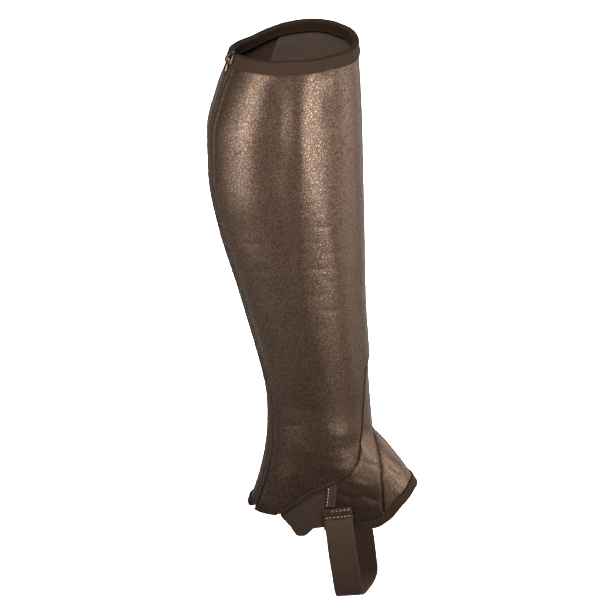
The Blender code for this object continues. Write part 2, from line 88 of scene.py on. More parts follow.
# Edges drawn on the skin, as pairs of a turn and a height; all but the rim are alike on both sides
rim_at = curve((
    (-156, 95.6), (-130, 97.6), (-90, 100.0), (-45, 101.2), (-20, 100.4), (0, 100.8), (20, 102.0),
    (40, 103.2), (60, 102.6), (84, 100.8), (99, 98.4), (112, 94.6), (136, 89.4), (158, 89.5),
    (180, 92.6), (206, 95.6),
))
panel_edge_at = curve((
    (0, -196.0), (12, -198.5), (22, -206.0), (27, -217.0), (32, -233.9), (36.5, -249.3), (40, -262.8),
    (45.5, -272.0), (55, -280.6), (64, -287.8), (73, -294.0), (82, -300.2), (91, -305.9),
    (101, -311.7), (111, -318.6), (118, -326.5), (132, -341.2), (150, -343.0), (206, -342.0),
))
vamp_seam_at = curve((
    (0, -268.5), (6, -270.1), (14, -273.1), (22, -278.0), (32, -285.7), (39, -293.4), (46, -302.5),
    (51, -312.7), (56, -325.2), (60, -336.5), (65, -347.5),
))
vamp_hem_at = curve((
    (0, -322.5), (14, -323.2), (41, -331.8), (61, -345.6), (71, -351.1), (104, -353.3),
))
gusset_hem_at = curve((
    (98, -350.7), (107, -353.3), (114, -362.2), (117, -362.4), (123, -353.4), (132, -343.4),
))

# Edges that run up the leg, as pairs of a height and a turn
outer_edge_at = curve((
    (-345, -158), (-260, -151), (-225, -151), (-180, -157), (-100, -155), (-40, -159), (10, -157.5),
    (60, -157), (100, -156.5),
))
inner_edge_at = curve(((-345, 150), (-200, 140), (-100, 128), (0, 114), (100, 102)))
vamp_back_at = curve(((-353.0, 101.5), (-306.0, 97.3)))

# Layers of the wall, as distances out from the skin
Layer = namedtuple("Layer", "outer inner")
LEATHER = Layer(0.0, -1.6)
LINING = Layer(-1.9, -2.9)
STRETCH = Layer(-0.4, -1.6)
TAPE = Layer(-2.2, -2.9)
VAMP = Layer(-2.3, -3.6)
GUSSET = Layer(-2.2, -3.4)
SEAM_TAPE = Layer(-0.9, -1.9)
LEAST_WALL = 0.7

# Widths and distances along the skin
GAP = 0.3
SEWN = 0.02
LAP = 7.0
LAP_CLEAR = 2.0
ZIP_HALF_GAP = 4.2
TAPE_LAP = 13.0
MARGIN = TAPE_LAP + 1.0
TAPE_BELOW_RIM = 6.0
TAPE_ABOVE_HEM = 1.5
RIM_BINDING = 10.5
HEM_BINDING = 6.5
VAMP_BINDING = 7.0
BINDING_WALL = 1.0
HEM_ROW = 2.6
SEAM_ROW = 2.4

# Where the zip meets the rim and the hem, as heights, and where pieces end, as turns
ZIP_TOP = 97.0
ZIP_FOOT = -343.0
FIRST_TURN = -126
GODET_END = 60.5
GUSSET_END = 131.5
SEAM_TAPE_TOP = (87.8, 95.6)
SEAM_TAPE_LOW = (92.4, 98.8)
SIDES = (("outer", -1), ("inner", 1))

# Stirrup strap, flat elastic, as the middle line of the band
STRAP_WIDTH = 25.0
STRAP_WALL = 1.4
STRAP_LINE = (
    (45.0, -36.6, -330.4), (45.9, -37.2, -337.4), (46.6, -38.6, -343.8), (47.8, -39.0, -354.6),
    (49.0, -38.8, -364.5), (51.2, -37.5, -382.5), (53.6, -33.5, -402.8), (55.7, -27.8, -418.4),
    (57.0, -23.2, -425.7), (59.0, -17.0, -428.6), (64.0, 0.0, -429.6), (69.0, 17.0, -428.6),
    (70.4, 23.2, -425.7), (69.4, 27.8, -418.4), (67.2, 33.5, -402.8), (63.4, 37.5, -382.5),
    (60.0, 38.8, -364.5), (58.3, 39.0, -354.6), (56.6, 38.6, -343.8), (55.5, 37.2, -337.4),
    (54.3, 36.6, -330.4),
)
PATCH_LENGTH = 9.0
PATCH_WALL = 0.9

# Creases in the leather: the middle's turn and height, length, lie in degrees (0 runs round
# the leg, 90 up it), half width and depth, where a depth below zero is a ridge
CREASES = (
    (-70, -38, 22, -8, 1.3, 0.22), (-62, -52, 28, -12, 1.6, 0.30), (-72, -66, 24, -4, 1.4, 0.26),
    (-58, -78, 26, -10, 1.7, 0.30), (-68, -92, 30, -6, 1.6, 0.32), (-60, -105, 20, -14, 1.3, 0.24),
    (-74, -118, 24, 2, 1.5, 0.24), (-64, -134, 28, -8, 1.8, 0.26), (-76, -152, 22, 4, 1.5, 0.20),
    (-140, 72, 20, 6, 1.2, 0.20), (-143, 60, 26, 4, 1.3, 0.24), (-138, 44, 22, 8, 1.2, 0.20),
    (-124, -70, 26, 6, 1.6, 0.24), (-120, -96, 30, 10, 1.8, 0.28), (-128, -128, 24, 8, 1.6, 0.22),
    (-112, -150, 26, 4, 1.6, 0.20), (-100, -232, 34, -4, 2.6, 0.36), (-120, -250, 26, 10, 2.2, 0.28),
    (-72, -262, 36, -10, 3.0, 0.42), (-88, -282, 40, -14, 3.4, 0.45), (70, -60, 26, 8, 1.6, 0.28),
    (58, -84, 22, 12, 1.5, 0.24), (76, -104, 28, 6, 1.7, 0.30), (64, -140, 24, 10, 1.6, 0.24),
    (96, -230, 34, 6, 2.6, 0.36), (80, -262, 36, 10, 3.0, 0.40), (20, -150, 26, 3, 2.0, 0.18),
    (-20, -186, 30, -3, 2.2, 0.22),
)

# Broad swells between the folds, the tuck round the ankle and folds over the ankle and instep
SWELLS = (
    (-97, 52, 120, 101, 5.5, 0.8), (-92, -60, 190, 91, 6.5, 0.9), (-94, -180, 150, 88, 7.5, 0.8),
    (-79, 40, 150, 97, 7.0, -1.0), (-56, -90, 250, 94, 13.0, -1.3), (-119, 30, 190, 93, 10.0, -0.8),
    (-69, 86, 60, 96, 6.0, 1.0), (-52, 86, 60, 96, 6.0, -1.0), (72, 30, 180, 88, 10.0, -0.9),
    (96, -40, 200, 88, 9.0, 0.7), (-134, -302, 60, 0, 14.0, -1.1), (-58, -262, 80, -8, 11.0, -1.6),
)
TUCK = (
    (-84, -286, 92, -36, 7.0, -0.5), (-90, -304, 84, -34, 8.0, 0.8), (84, -286, 92, 36, 7.0, -0.9),
    (90, -304, 84, 34, 8.0, 1.0),
)
FOOT_FOLDS = (
    (-84, -318, 30, -30, 4.0, 0.9), (-70, -306, 26, -38, 3.4, -0.7), (-66, -322, 22, -34, 3.0, 0.7),
    (-50, -290, 22, -40, 2.6, 0.5), (-30, -262, 20, -46, 2.6, 0.4), (-40, -322, 20, -55, 3.2, -0.6),
    (-26, -300, 26, -62, 3.6, 0.7), (-8, -304, 26, 84, 4.0, -0.5), (24, -300, 26, 62, 3.6, 0.6),
    (62, -316, 26, 36, 3.4, 0.7), (84, -320, 30, 28, 4.0, 0.8),
)


def fold_depth(turn, height):
    """How far the folds press the skin in at a place."""
    depth = np.zeros(np.broadcast(turn, height).shape)
    for top_turn, low_turn, top, low, spread, deep in FOLDS:
        along = (top - height) / (top - low)
        across = (turn - part_way(top_turn, low_turn, along)) / spread
        fade = np.sin(math.pi * np.minimum(1.0, 0.35 + 0.65 * along))
        depth = depth + np.where((along > 0) & (along < 1), deep * np.exp(-across ** 2) * fade, 0)
    return depth


def bare_skin(turn, height):
    """Points on the skin."""
    turn, height = np.broadcast_arrays(np.asarray(turn, float), np.asarray(height, float))
    back, front, half = back_at(height), front_at(height), half_width_at(height)
    press = 1 - fold_depth(turn, height) / half
    across = np.radians(turn)
    x = (back + front) / 2 + (front - back) / 2 * np.cos(across) * press
    return np.stack([x, half * np.sin(across) * press, height], axis=-1)


def unit(vectors):
    """Vectors of length one."""
    return vectors / np.maximum(np.linalg.norm(vectors, axis=-1, keepdims=True), 1e-9)


def skin_normal(turn, height):
    """Outward normals of the skin."""
    around = bare_skin(turn + 0.5, height) - bare_skin(turn - 0.5, height)
    up = bare_skin(turn, height + 0.5) - bare_skin(turn, height - 0.5)
    return unit(np.cross(around, up))


def skin(turn, height, out=0.0):
    """Points at a distance out from the skin."""
    return bare_skin(turn, height) + skin_normal(turn, height) * np.asarray(out)[..., None]


def degree_size(turn, height):
    """Length of one degree along the skin."""
    return np.linalg.norm(bare_skin(turn + 0.5, height) - bare_skin(turn - 0.5, height), axis=-1)


def shifted(turn, height, distance):
    """The turn that lies a distance along the skin from a place."""
    return turn + distance / degree_size(turn, height)


def steepness(edge_at, turn):
    """How much longer than its square width a sloping edge's upright width is."""
    rise = edge_at(np.abs(turn) + 1) - edge_at(np.abs(turn) - 1)
    run = 2 * degree_size(turn, edge_at(np.abs(turn)))
    return np.sqrt(1 + (rise / run) ** 2)


def pressed(table, turn, height):
    """Sum of a crease table at places, below zero where the leather is pressed in."""
    depth = np.zeros(np.shape(turn))
    degree = np.radians(0.5 * (front_at(height) - back_at(height)) * 0.5 + 0.5 * half_width_at(height))
    for middle, level, length, lie, width, deep in table:
        dx = (turn - middle) * degree
        dz = height - level
        lie = math.radians(lie)
        along = (dx * math.cos(lie) + dz * math.sin(lie)) / (length / 2)
        bow = 0.06 * length * (along ** 2)
        across = (-dx * math.sin(lie) + dz * math.cos(lie) - bow) / width
        fade = np.clip(1 - along ** 2, 0, 1) ** 2
        depth = depth - deep * np.exp(-across ** 2) * fade
    return depth


def bell(distance, middle, width):
    """A soft line: 1 at its middle, fading over a width."""
    return np.exp(-((distance - middle) / width) ** 2)


def ease(distance, reach):
    """A share that grows from 0 to 1 over a reach."""
    return np.clip(distance / reach, 0, 1)


def part_way(first, second, share):
    """A value a share of the way from one to another."""
    return first + (second - first) * share


def rounded(distance, radius):
    """How far a wall's face drops near its edge, as a quarter round."""
    inside = np.clip(radius - distance, 0, radius)
    return radius - np.sqrt(radius ** 2 - inside ** 2)


def running(points):
    """Length run along a line of points."""
    return np.cumsum(np.pad(np.linalg.norm(np.diff(points, axis=0), axis=-1), (1, 0)))


# Meshes

def outward(mesh):
    """True if a closed mesh's faces point out."""
    mesh.calc_loop_triangles()
    points = np.array([v.co for v in mesh.vertices])
    corners = np.array([t.vertices for t in mesh.loop_triangles])
    a, b, c = (points[corners[:, k]] for k in range(3))
    return float(np.einsum("ij,ij->i", a, np.cross(b, c)).sum()) > 0


def mesh_object(name, points, faces, finish, cloth=None):
    """A closed object from points in millimetres and faces, with cloth coordinates on its points."""
    mesh = bpy.data.meshes.new(name)
    mesh.from_pydata((points.reshape(-1, 3) * MM).tolist(), [], faces)
    if cloth is not None:
        layer = mesh.attributes.new("cloth", "FLOAT_VECTOR", "POINT")
        layer.data.foreach_set("vector", np.asarray(cloth, np.float32).ravel())
    mesh.shade_smooth()
    if not outward(mesh):
        mesh.flip_normals()
    mesh.materials.append(finish)
    made = bpy.data.objects.new(name, mesh)
    bpy.context.scene.collection.objects.link(made)
    return made


def wall_between(name, face, back, cloth, finish):
    """A closed wall between two grids of points, whose rows run down and columns with the turn."""
    count = face.shape[0] * face.shape[1]
    grid = np.arange(count).reshape(face.shape[:2])
    corners = (grid[:-1, :-1], grid[1:, :-1], grid[1:, 1:], grid[:-1, 1:])
    quads = np.stack([corner.ravel() for corner in corners], axis=1)
    rim = np.concatenate([grid[0], grid[1:, -1], grid[-1, -2::-1], grid[-2:0:-1, 0]])
    after = np.roll(rim, -1)
    border = np.stack([rim, after, after + count, rim + count], axis=1)
    faces = np.concatenate([quads, quads[:, ::-1] + count, border]).tolist()
    return mesh_object(name, np.stack([face, back]), faces, finish, np.stack([cloth, cloth]))


def shell(name, turn, height, outer, inner, finish):
    """A closed thin wall from grids of places and distances out; its cloth runs round and down."""
    face = skin(turn, height, outer)
    across = np.linalg.norm(np.diff(face, axis=1), axis=-1)
    down = np.linalg.norm(np.diff(face, axis=0), axis=-1)
    u = np.cumsum(np.pad(across, ((0, 0), (1, 0))), axis=1)
    v = np.cumsum(np.pad(down, ((1, 0), (0, 0))), axis=0)
    cloth = np.stack([u - u[:, [u.shape[1] // 2]], v, np.zeros_like(u)], axis=-1)
    return wall_between(name, face, skin(turn, height, inner), cloth, finish)


def paint_shade(made, shade):
    """Stores painted shade for each place, for a wall's face and back alike: how far seams, lapped edges
    and the lower parts darken the colour and dim the gloss.
    """
    spots = made.data.attributes.new("painted_shade", "FLOAT", "POINT")
    spots.data.foreach_set("value", np.tile(shade.ravel(), 2).astype(np.float32))


def bars(name, rings, finish, cloth=None, closed=False):
    """Bars, each a line of rings of points; a bar ends in a face, or closed joins its ends."""
    number, count, around = rings.shape[:3]
    k, j = np.meshgrid(np.arange(count if closed else count - 1), np.arange(around), indexing="ij")
    after, beside = (k + 1) % count, (j + 1) % around
    corners = (k * around + j, k * around + beside, after * around + beside, after * around + j)
    quads = np.stack([corner.ravel() for corner in corners], axis=1)
    starts = np.arange(number) * count * around
    faces = (starts[:, None, None] + quads).reshape(-1, 4).tolist()
    for start in () if closed else starts.tolist():
        faces.append(list(range(start + around - 1, start - 1, -1)))
        faces.append(list(range(start + (count - 1) * around, start + count * around)))
    return mesh_object(name, rings, faces, finish, cloth)


def spline(points, places, closed=False):
    """Points on a smooth curve through points, at places counted in points."""
    points = np.array(points, float)
    count = len(points)
    i = places.astype(int) if closed else np.clip(places.astype(int), 0, count - 2)
    near = [(i + k) % count if closed else np.clip(i + k, 0, count - 1) for k in (-1, 0, 1, 2)]
    before, here, there, after = (points[k] for k in near)
    t = (places - i)[:, None]
    return 0.5 * (2 * here + (there - before) * t + (2 * before - 5 * here + 4 * there - after) * t * t
                  + (3 * here - before - 3 * there + after) * t ** 3)


# Materials

class Finish:
    """A Principled material with a short way to add nodes that vary it."""

    def __init__(self, name, **sockets):
        self.material = bpy.data.materials.new(name)
        self.material.use_nodes = True
        self.tree = self.material.node_tree
        self.shader = self.tree.nodes["Principled BSDF"]
        for key, value in sockets.items():
            self.shader.inputs[key.replace("_", " ")].default_value = value

    def node(self, kind, inputs=None, **settings):
        """Adds a node; inputs are values, or outputs to link, by socket name or number."""
        made = self.tree.nodes.new(kind)
        for key, value in settings.items():
            setattr(made, key, value)
        for key, value in (inputs or {}).items():
            if isinstance(value, bpy.types.NodeSocket):
                self.tree.links.new(value, made.inputs[key])
            else:
                made.inputs[key].default_value = value
        return made

    def cloth(self):
        """The cloth coordinates, in millimetres."""
        return self.node("ShaderNodeAttribute", attribute_name="cloth").outputs["Vector"]

    def place(self):
        """The object's own coordinates, in metres."""
        return self.node("ShaderNodeTexCoord").outputs["Object"]

    def scaled(self, vector, scale):
        """A vector times a scale on each axis."""
        return self.node("ShaderNodeVectorMath", {0: vector, 1: scale}, operation="MULTIPLY").outputs[0]

    def shaken(self, vector, scale, reach):
        """A vector pushed about by noise of a scale."""
        drift = self.node("ShaderNodeTexNoise", {"Vector": vector, "Scale": scale}).outputs["Color"]
        push = self.scaled(drift, (reach, reach, 0))
        return self.node("ShaderNodeVectorMath", {0: push, 1: vector}).outputs[0]

    def noise(self, vector, scale, detail=3.0, roughness=0.5):
        """Soft noise with about one spot in each 1/scale."""
        inputs = {"Vector": vector, "Scale": scale, "Detail": detail, "Roughness": roughness}
        return self.node("ShaderNodeTexNoise", inputs).outputs["Fac"]

    def ramp(self, value, low, high, to_low=0.0, to_high=1.0):
        """Maps a value smoothly from one range to another."""
        inputs = {"Value": value, "From Min": low, "From Max": high, "To Min": to_low, "To Max": to_high}
        return self.node("ShaderNodeMapRange", inputs, interpolation_type="SMOOTHSTEP").outputs[0]

    def math(self, operation, *values):
        """One arithmetic step."""
        return self.node("ShaderNodeMath", dict(enumerate(values)), operation=operation).outputs[0]

    def grow(self, value, times, plus):
        """A value times a number plus another."""
        return self.math("MULTIPLY_ADD", value, times, plus)

    def wave(self, value, pitch):
        """A sine from 0 to 1 along a length, with a pitch in its units."""
        return self.grow(self.math("SINE", self.math("MULTIPLY", value, 2 * math.pi / pitch)), 0.5, 0.5)

    def mix(self, share, first, second):
        """Mixes two colours."""
        made = self.node("ShaderNodeMix", {"Factor": share}, data_type="RGBA")
        for socket, value in zip((made.inputs[6], made.inputs[7]), (first, second)):
            if isinstance(value, bpy.types.NodeSocket):
                self.tree.links.new(value, socket)
            else:
                socket.default_value = (*value, 1.0)
        return made.outputs[2]

    def bump(self, height, distance, strength=1.0, below=None):
        """Relief of a distance in millimetres, on top of other relief if there is some below."""
        inputs = {"Height": height, "Distance": distance * MM, "Strength": strength}
        if below is not None:
            inputs["Normal"] = below
        return self.node("ShaderNodeBump", inputs).outputs[0]

    def to(self, socket, output):
        """Links an output to the shader."""
        self.tree.links.new(output, self.shader.inputs[socket])


def times(colour, share):
    """A colour made paler or darker."""
    return tuple(share * v for v in colour)


def leather(name, grain, gloss):
    """Synthetic leather with pebbled grain: pale tops, dark valleys and a broken gloss, darkened by painted
    shade where a piece stores it.
    """
    light, dark = (0.021, 0.0125, 0.0085), (0.0105, 0.0063, 0.0043)
    f = Finish(name, Specular_IOR_Level=0.80, Specular_Tint=(1.0, 0.70, 0.52, 1.0))
    cloth = f.cloth()
    shaken = f.shaken(cloth, 0.22, 1.5)
    cells = f.node("ShaderNodeTexVoronoi", {"Vector": shaken, "Scale": 1 / grain, "Randomness": 0.95},
                   feature="DISTANCE_TO_EDGE").outputs["Distance"]
    pebble = f.ramp(cells, 0.0, 0.30)
    wrinkle = f.noise(f.scaled(cloth, (0.10, 0.55, 1)), 1.0, 3.0, 0.55)
    broad = f.noise(cloth, 0.028, 3.0)
    fine = f.bump(f.grow(f.noise(shaken, 1.3, 2.0), 0.22, pebble), 0.095, gloss)
    f.to("Normal", f.bump(wrinkle, 0.24, 0.20, fine))
    tone = f.mix(f.ramp(broad, 0.3, 0.7), times(light, 0.86), light)
    tone = f.mix(f.ramp(pebble, 0.0, 0.8), dark, tone)
    # Painted shade: the stored share darkens the colour and dims the gloss along seams, under lapped edges
    # and towards the foot.
    shade = f.node("ShaderNodeAttribute", attribute_name="painted_shade").outputs["Fac"]
    f.to("Base Color", f.mix(shade, tone, times(dark, 0.45)))
    rough = f.grow(broad, 0.10, f.grow(pebble, -0.06, 0.38))
    edge_on = f.node("ShaderNodeLayerWeight", {"Blend": 0.5}).outputs["Facing"]
    f.to("Roughness", f.math("ADD", rough, f.ramp(edge_on, 0.62, 0.97, 0.0, 0.42)))
    gleam = f.grow(pebble, 0.46, 0.32)
    f.to("Specular IOR Level", f.math("MULTIPLY", gleam, f.grow(shade, -0.9, 1.0)))
    return f.material


def woven(name, light, dark, pitch, across, ribs=0.12, sheen=0.06):
    """Ribbed cloth: ribs of a pitch, crossed by threads, with dust-fine fibres."""
    f = Finish(name, Roughness=0.82, Sheen_Weight=sheen, Sheen_Roughness=0.45, Specular_IOR_Level=0.16,
               Specular_Tint=(1.0, 0.78, 0.62, 1.0), Sheen_Tint=(1.0, 0.72, 0.55, 1.0))
    cloth = f.cloth()
    split = f.node("ShaderNodeSeparateXYZ", {0: f.shaken(cloth, 0.5, 0.3)})
    rib = f.wave(split.outputs[0], pitch)
    thread = f.wave(split.outputs[1], across)
    fibre = f.noise(f.scaled(cloth, (3.0, 1.4, 1)), 1.0, 3.0, 0.7)
    weave = f.math("MULTIPLY", rib, f.grow(thread, 0.45, 0.55))
    f.to("Normal", f.bump(f.grow(fibre, 0.5, weave), ribs + 0.05, 0.8))
    shade = f.math("MULTIPLY", weave, f.grow(f.noise(cloth, 0.06, 2.0), 0.5, 0.75))
    tone = f.mix(f.ramp(shade, 0.0, 0.9), dark, light)
    f.to("Base Color", f.mix(f.ramp(fibre, 0.56, 0.78, 0.0, 0.5), tone, times(light, 1.5)))
    return f.material


def brushed(name, light, dark):
    """Brushed lining with a short nap."""
    f = Finish(name, Roughness=0.95, Sheen_Weight=0.07, Sheen_Roughness=0.6,
               Sheen_Tint=(0.8, 0.57, 0.42, 1.0))
    cloth = f.cloth()
    nap = f.noise(f.scaled(cloth, (1.6, 0.7, 1)), 1.0, 4.0, 0.7)
    f.to("Normal", f.bump(nap, 0.35, 0.7))
    shade = f.grow(nap, 0.5, f.math("MULTIPLY", f.noise(cloth, 0.05, 4.0, 0.6), 0.5))
    f.to("Base Color", f.mix(f.ramp(shade, 0.3, 0.7), dark, light))
    return f.material


def thread(name, light, dark):
    """Twisted sewing thread."""
    f = Finish(name, Roughness=0.7, Sheen_Weight=0.04, Specular_IOR_Level=0.12)
    twist = f.noise(f.scaled(f.place(), (2600, 2600, 2600)), 1.0, 2.0)
    f.to("Base Color", f.mix(f.ramp(twist, 0.35, 0.65), dark, light))
    f.to("Normal", f.bump(twist, 0.06, 0.6))
    return f.material


def plated(name, light, dark, shine):
    """Plated zip metal, a little dulled and scratched."""
    f = Finish(name, Metallic=1.0)
    scratch = f.noise(f.scaled(f.place(), (400, 400, 2400)), 1.0, 3.0, 0.6)
    stain = f.noise(f.scaled(f.place(), (260, 260, 260)), 1.0, 3.0)
    f.to("Base Color", f.mix(f.ramp(stain, 0.35, 0.7), dark, light))
    f.to("Roughness", f.grow(scratch, 0.25, shine))
    f.to("Normal", f.bump(scratch, 0.02, 0.4))
    return f.material


def moulded(name, light, dark):
    """The zip's nylon coils."""
    f = Finish(name, Specular_IOR_Level=0.5)
    cloud = f.noise(f.scaled(f.place(), (700, 700, 700)), 1.0, 3.0)
    f.to("Base Color", f.mix(cloud, dark, light))
    f.to("Roughness", f.grow(cloud, 0.2, 0.32))
    f.to("Normal", f.bump(cloud, 0.03, 0.5))
    return f.material


main_leather = leather("brown pebbled leather", 2.25, 0.55)
vamp_leather = leather("brown vamp leather", 2.0, 0.5)
godet_leather = leather("brown godet leather", 2.1, 0.5)
ribbon_cloth = woven("ribbed binding", (0.020, 0.0115, 0.0072), (0.007, 0.004, 0.0024), 1.15, 0.7,
                     sheen=0.02)
elastic_cloth = woven("dark elastic", (0.042, 0.027, 0.021), (0.014, 0.009, 0.007), 0.9, 0.6)
gusset_cloth = woven("ribbed elastic", (0.030, 0.020, 0.0145), (0.018, 0.012, 0.0085), 2.2, 0.6, ribs=0.07)
strap_cloth = woven("strap elastic", (0.042, 0.026, 0.019), (0.028, 0.017, 0.012), 2.5, 0.8, ribs=0.06)
tape_cloth = woven("zip tape", (0.040, 0.026, 0.020), (0.014, 0.009, 0.007), 0.55, 0.55)
lining_cloth = brushed("brushed lining", (0.042, 0.0265, 0.0185), (0.024, 0.015, 0.0105))
dark_thread = thread("dark thread", (0.055, 0.036, 0.027), (0.022, 0.014, 0.010))
pale_thread = thread("pale thread", (0.52, 0.38, 0.27), (0.30, 0.20, 0.14))
coil_plastic = moulded("zip coil", (0.030, 0.020, 0.016), (0.012, 0.008, 0.006))
binding_thread = thread("binding thread", (0.024, 0.015, 0.011), (0.010, 0.006, 0.005))
zip_metal = plated("zip metal", (0.19, 0.14, 0.10), (0.06, 0.04, 0.03), 0.26)


# Edges: functions that give the height of an edge at a turn, and how much steeper it lies

def edge_of(edge_at, rise=0.0, steepest=1.0, alike=True):
    """An edge moved up by a rise; alike if both sides of the leg have the same."""
    def at(turn):
        slope = min(steepest, steepness(edge_at, turn)) if steepest > 1 else 1.0
        return float(edge_at(abs(turn) if alike else turn)) + rise, float(slope)
    return at


def level(height):
    """An edge at one height."""
    return lambda turn: (height, 1.0)


rim_edge = edge_of(rim_at, alike=False)
panel_edge = edge_of(panel_edge_at, steepest=4.0)
lining_top = edge_of(rim_at, -1.0, alike=False)
lining_low = edge_of(panel_edge_at, LAP)
lap_top = edge_of(panel_edge_at, LAP - LAP_CLEAR)
vamp_seam = edge_of(vamp_seam_at, steepest=3.0)
vamp_hem = edge_of(vamp_hem_at)
flared_hem = edge_of(vamp_hem_at, steepest=3.0)
gusset_hem = edge_of(gusset_hem_at)
tape_top = level(float(rim_at(outer_edge_at(ZIP_TOP))) - TAPE_BELOW_RIM)
tape_foot = level(float(panel_edge_at(158.0)) + TAPE_ABOVE_HEM)


def vamp_low(turn):
    """The vamp's lower edge: the seam with the godet, then the hem."""
    return vamp_seam(turn) if abs(turn) <= GODET_END else flared_hem(turn)


def godet_top(turn):
    """The godet's upper edge, a gap below the vamp."""
    height, slope = vamp_seam(turn)
    return height - SEWN * slope, slope


def edge_line(edge, turns, distance=0.0):
    """Heights along an edge, or along a line at a square distance above it."""
    return np.array([height + distance * slope for height, slope in map(edge, turns)])


# Columns: functions that give the turn of a line down the leg at a height

def fixed(turn):
    """A column at one turn."""
    return lambda height: turn + 0.0 * np.asarray(height, float)


def beside(edge_at, distance, whole=0):
    """A column at a distance from an edge that runs up the leg; whole adds whole turns."""
    return lambda height: whole + shifted(edge_at(height), height, distance)


def zip_column(distance):
    """A column at a distance from the zip's middle; below zero is towards the outer side."""
    return beside(outer_edge_at, -ZIP_HALF_GAP - distance)


def between(first, second, share):
    """A column a share of the way from one column to another."""
    return lambda height: part_way(first(height), second(height), share)


def vamp_back(side, clear):
    """A column beside the vamp's back edge."""
    return lambda height: side * (vamp_back_at(height) + clear)


stretch_end = beside(outer_edge_at, -2 * ZIP_HALF_GAP, 360)

# Distances of the first rows from an edge: one that is covered, and two that show
PLAIN = (0.0,)
NEAR = (0.0, 0.15, 0.4, 0.8, 1.3, 2.0)
FINE = (0.0, 0.12, 0.3, 0.6, 1.0, 1.8, 3.0)


def place_grid(columns, top, low, step, fine_top=PLAIN, fine_low=PLAIN):
    """Turns and heights of a grid of columns between two edges, and the distances from both edges."""
    ends = []
    for turn_at in columns:
        high, deep = top(turn_at(top(0.0)[0])), low(turn_at(-300.0))
        for _ in range(4):
            high, deep = top(turn_at(high[0])), low(turn_at(deep[0]))
        ends.append((turn_at, *high, *deep))
    length = max(high - deep for _, high, _, deep, _ in ends)
    share = np.linspace(0, 1, max(4, int(round(length / step))))[1:-1]
    made = []
    for turn_at, high, high_slope, deep, deep_slope in ends:
        near_top = [high - high_slope * d for d in fine_top]
        near_low = [deep + deep_slope * d for d in reversed(fine_low)]
        middle = part_way(near_top[-1], near_low[0], share)
        column = np.array(near_top + list(middle) + near_low)
        made.append((turn_at(column), column, (high - column) / high_slope, (column - deep) / deep_slope))
    return tuple(np.stack(grid, axis=1) for grid in zip(*made))


# Pieces of the leg

def panel_face(turn, height, from_hem=50.0, from_rim=99.0):
    """The main panel's outer face: creases, swells, a turned edge at the zip, sewn grooves."""
    degree = degree_size(turn, height)
    from_zip = (turn - outer_edge_at(height)) * degree
    from_seam = (inner_edge_at(height) - turn) * degree
    relief = pressed(CREASES, turn, height) + pressed(TUCK, turn, height)
    relief = relief + pressed(SWELLS, turn, height) * ease(from_hem, 25)
    relief = relief * ease(np.minimum(from_zip, from_seam), 10) * ease(from_rim - RIM_BINDING, 9)
    relief = relief + 0.60 * bell(from_zip, 1.7, 1.4) - 0.35 * bell(from_zip, 4.6, 0.7)
    upright = ease(66 - np.abs(turn), 20)
    groove = (0.32 + 0.45 * upright) * bell(from_hem, HEM_ROW, 0.5 + 0.5 * upright)
    relief = relief - groove * (np.abs(turn) < 132) - 0.35 * bell(from_seam, SEAM_ROW, 0.6)
    nearest = np.maximum(0, np.minimum(np.minimum(from_zip, from_hem), from_seam))
    return LEATHER.outer + relief - rounded(nearest, 0.75)


def stretch_face(turn, height):
    """The stretch panel's outer face, with soft ribs round it and sewn grooves."""
    degree = degree_size(turn, height)
    from_seam = np.maximum(0, (turn - beside(inner_edge_at, GAP)(height)) * degree)
    from_zip = np.maximum(0, (stretch_end(height) - turn) * degree)
    ribbed = 0.22 * np.abs(np.sin(height * math.pi / 7.0 + np.sin(turn / 9.0) * 0.35)) ** 6
    groove = bell(from_zip, 3.2, 0.6) + bell(from_seam, SEAM_ROW, 0.6)
    return STRETCH.outer - ribbed - 0.3 * groove - rounded(np.minimum(from_seam, from_zip), 0.5)


zip_margin = beside(outer_edge_at, MARGIN)
margin_steps = (0.0, 0.12, 0.3, 0.6, 1.0, *np.linspace(1.6, 12.4, 8), MARGIN)
columns = [beside(outer_edge_at, d) for d in margin_steps]
columns += [between(zip_margin, fixed(FIRST_TURN), k / 9) for k in range(1, 10)]
columns += [fixed(t) for t in (*np.arange(FIRST_TURN + 2.0, -47, 2.0), *np.arange(-46.0, 46.5, 1.25),
                               *np.arange(48.0, 90.5, 2.0))]
seam_shares = (*np.linspace(0, 1, 24)[1:-1], 0.965, 0.98, 0.99, 1.0)
columns += [between(fixed(90.0), inner_edge_at, s) for s in seam_shares]
turn, height, from_rim, from_hem = place_grid(columns, rim_edge, panel_edge, 2.2, PLAIN, FINE)
outer = panel_face(turn, height, from_hem, from_rim)
inner = np.minimum(LEATHER.inner, outer - LEAST_WALL)
main_panel = shell("main_panel_leather", turn, height, outer, inner, main_leather)
# Painted shade: a dark band along the lower edge where the panel laps the vamp, and darkening that grows
# towards the hem.
painted_edge_shade = bell(from_hem, 1.5, 1.9) * ease(84 - np.abs(turn), 25)
paint_shade(main_panel, np.maximum(painted_edge_shade, 0.25 * np.clip(1 - from_hem / 45, 0, 1)))

columns = [between(zip_margin, fixed(FIRST_TURN), k / 6) for k in range(7)]
columns += [fixed(t) for t in np.arange(FIRST_TURN + 3.0, 90.5, 3.0)]
columns += [between(fixed(90.0), inner_edge_at, s) for s in np.linspace(0, 1, 12)[1:]]
turn, height, _, _ = place_grid(columns, lining_top, lining_low, 3.0)
waves = 0.25 * np.sin(np.radians(turn * 5 + height * 1.1)) * np.sin(height / 17.0)
shell("lining_cloth", turn, height, LINING.outer, LINING.inner - 0.15 + 0.5 * waves, lining_cloth)

shares = (0.0, 0.002, 0.005, 0.01, 0.018, *np.linspace(0.03, 0.97, 64), 0.982, 0.99, 0.995, 0.998, 1.0)
columns = [between(beside(inner_edge_at, SEWN), stretch_end, s) for s in shares]
turn, height, _, _ = place_grid(columns, rim_edge, panel_edge, 2.6)
shell("stretch_panel_cloth", turn, height, stretch_face(turn, height), STRETCH.inner, elastic_cloth)

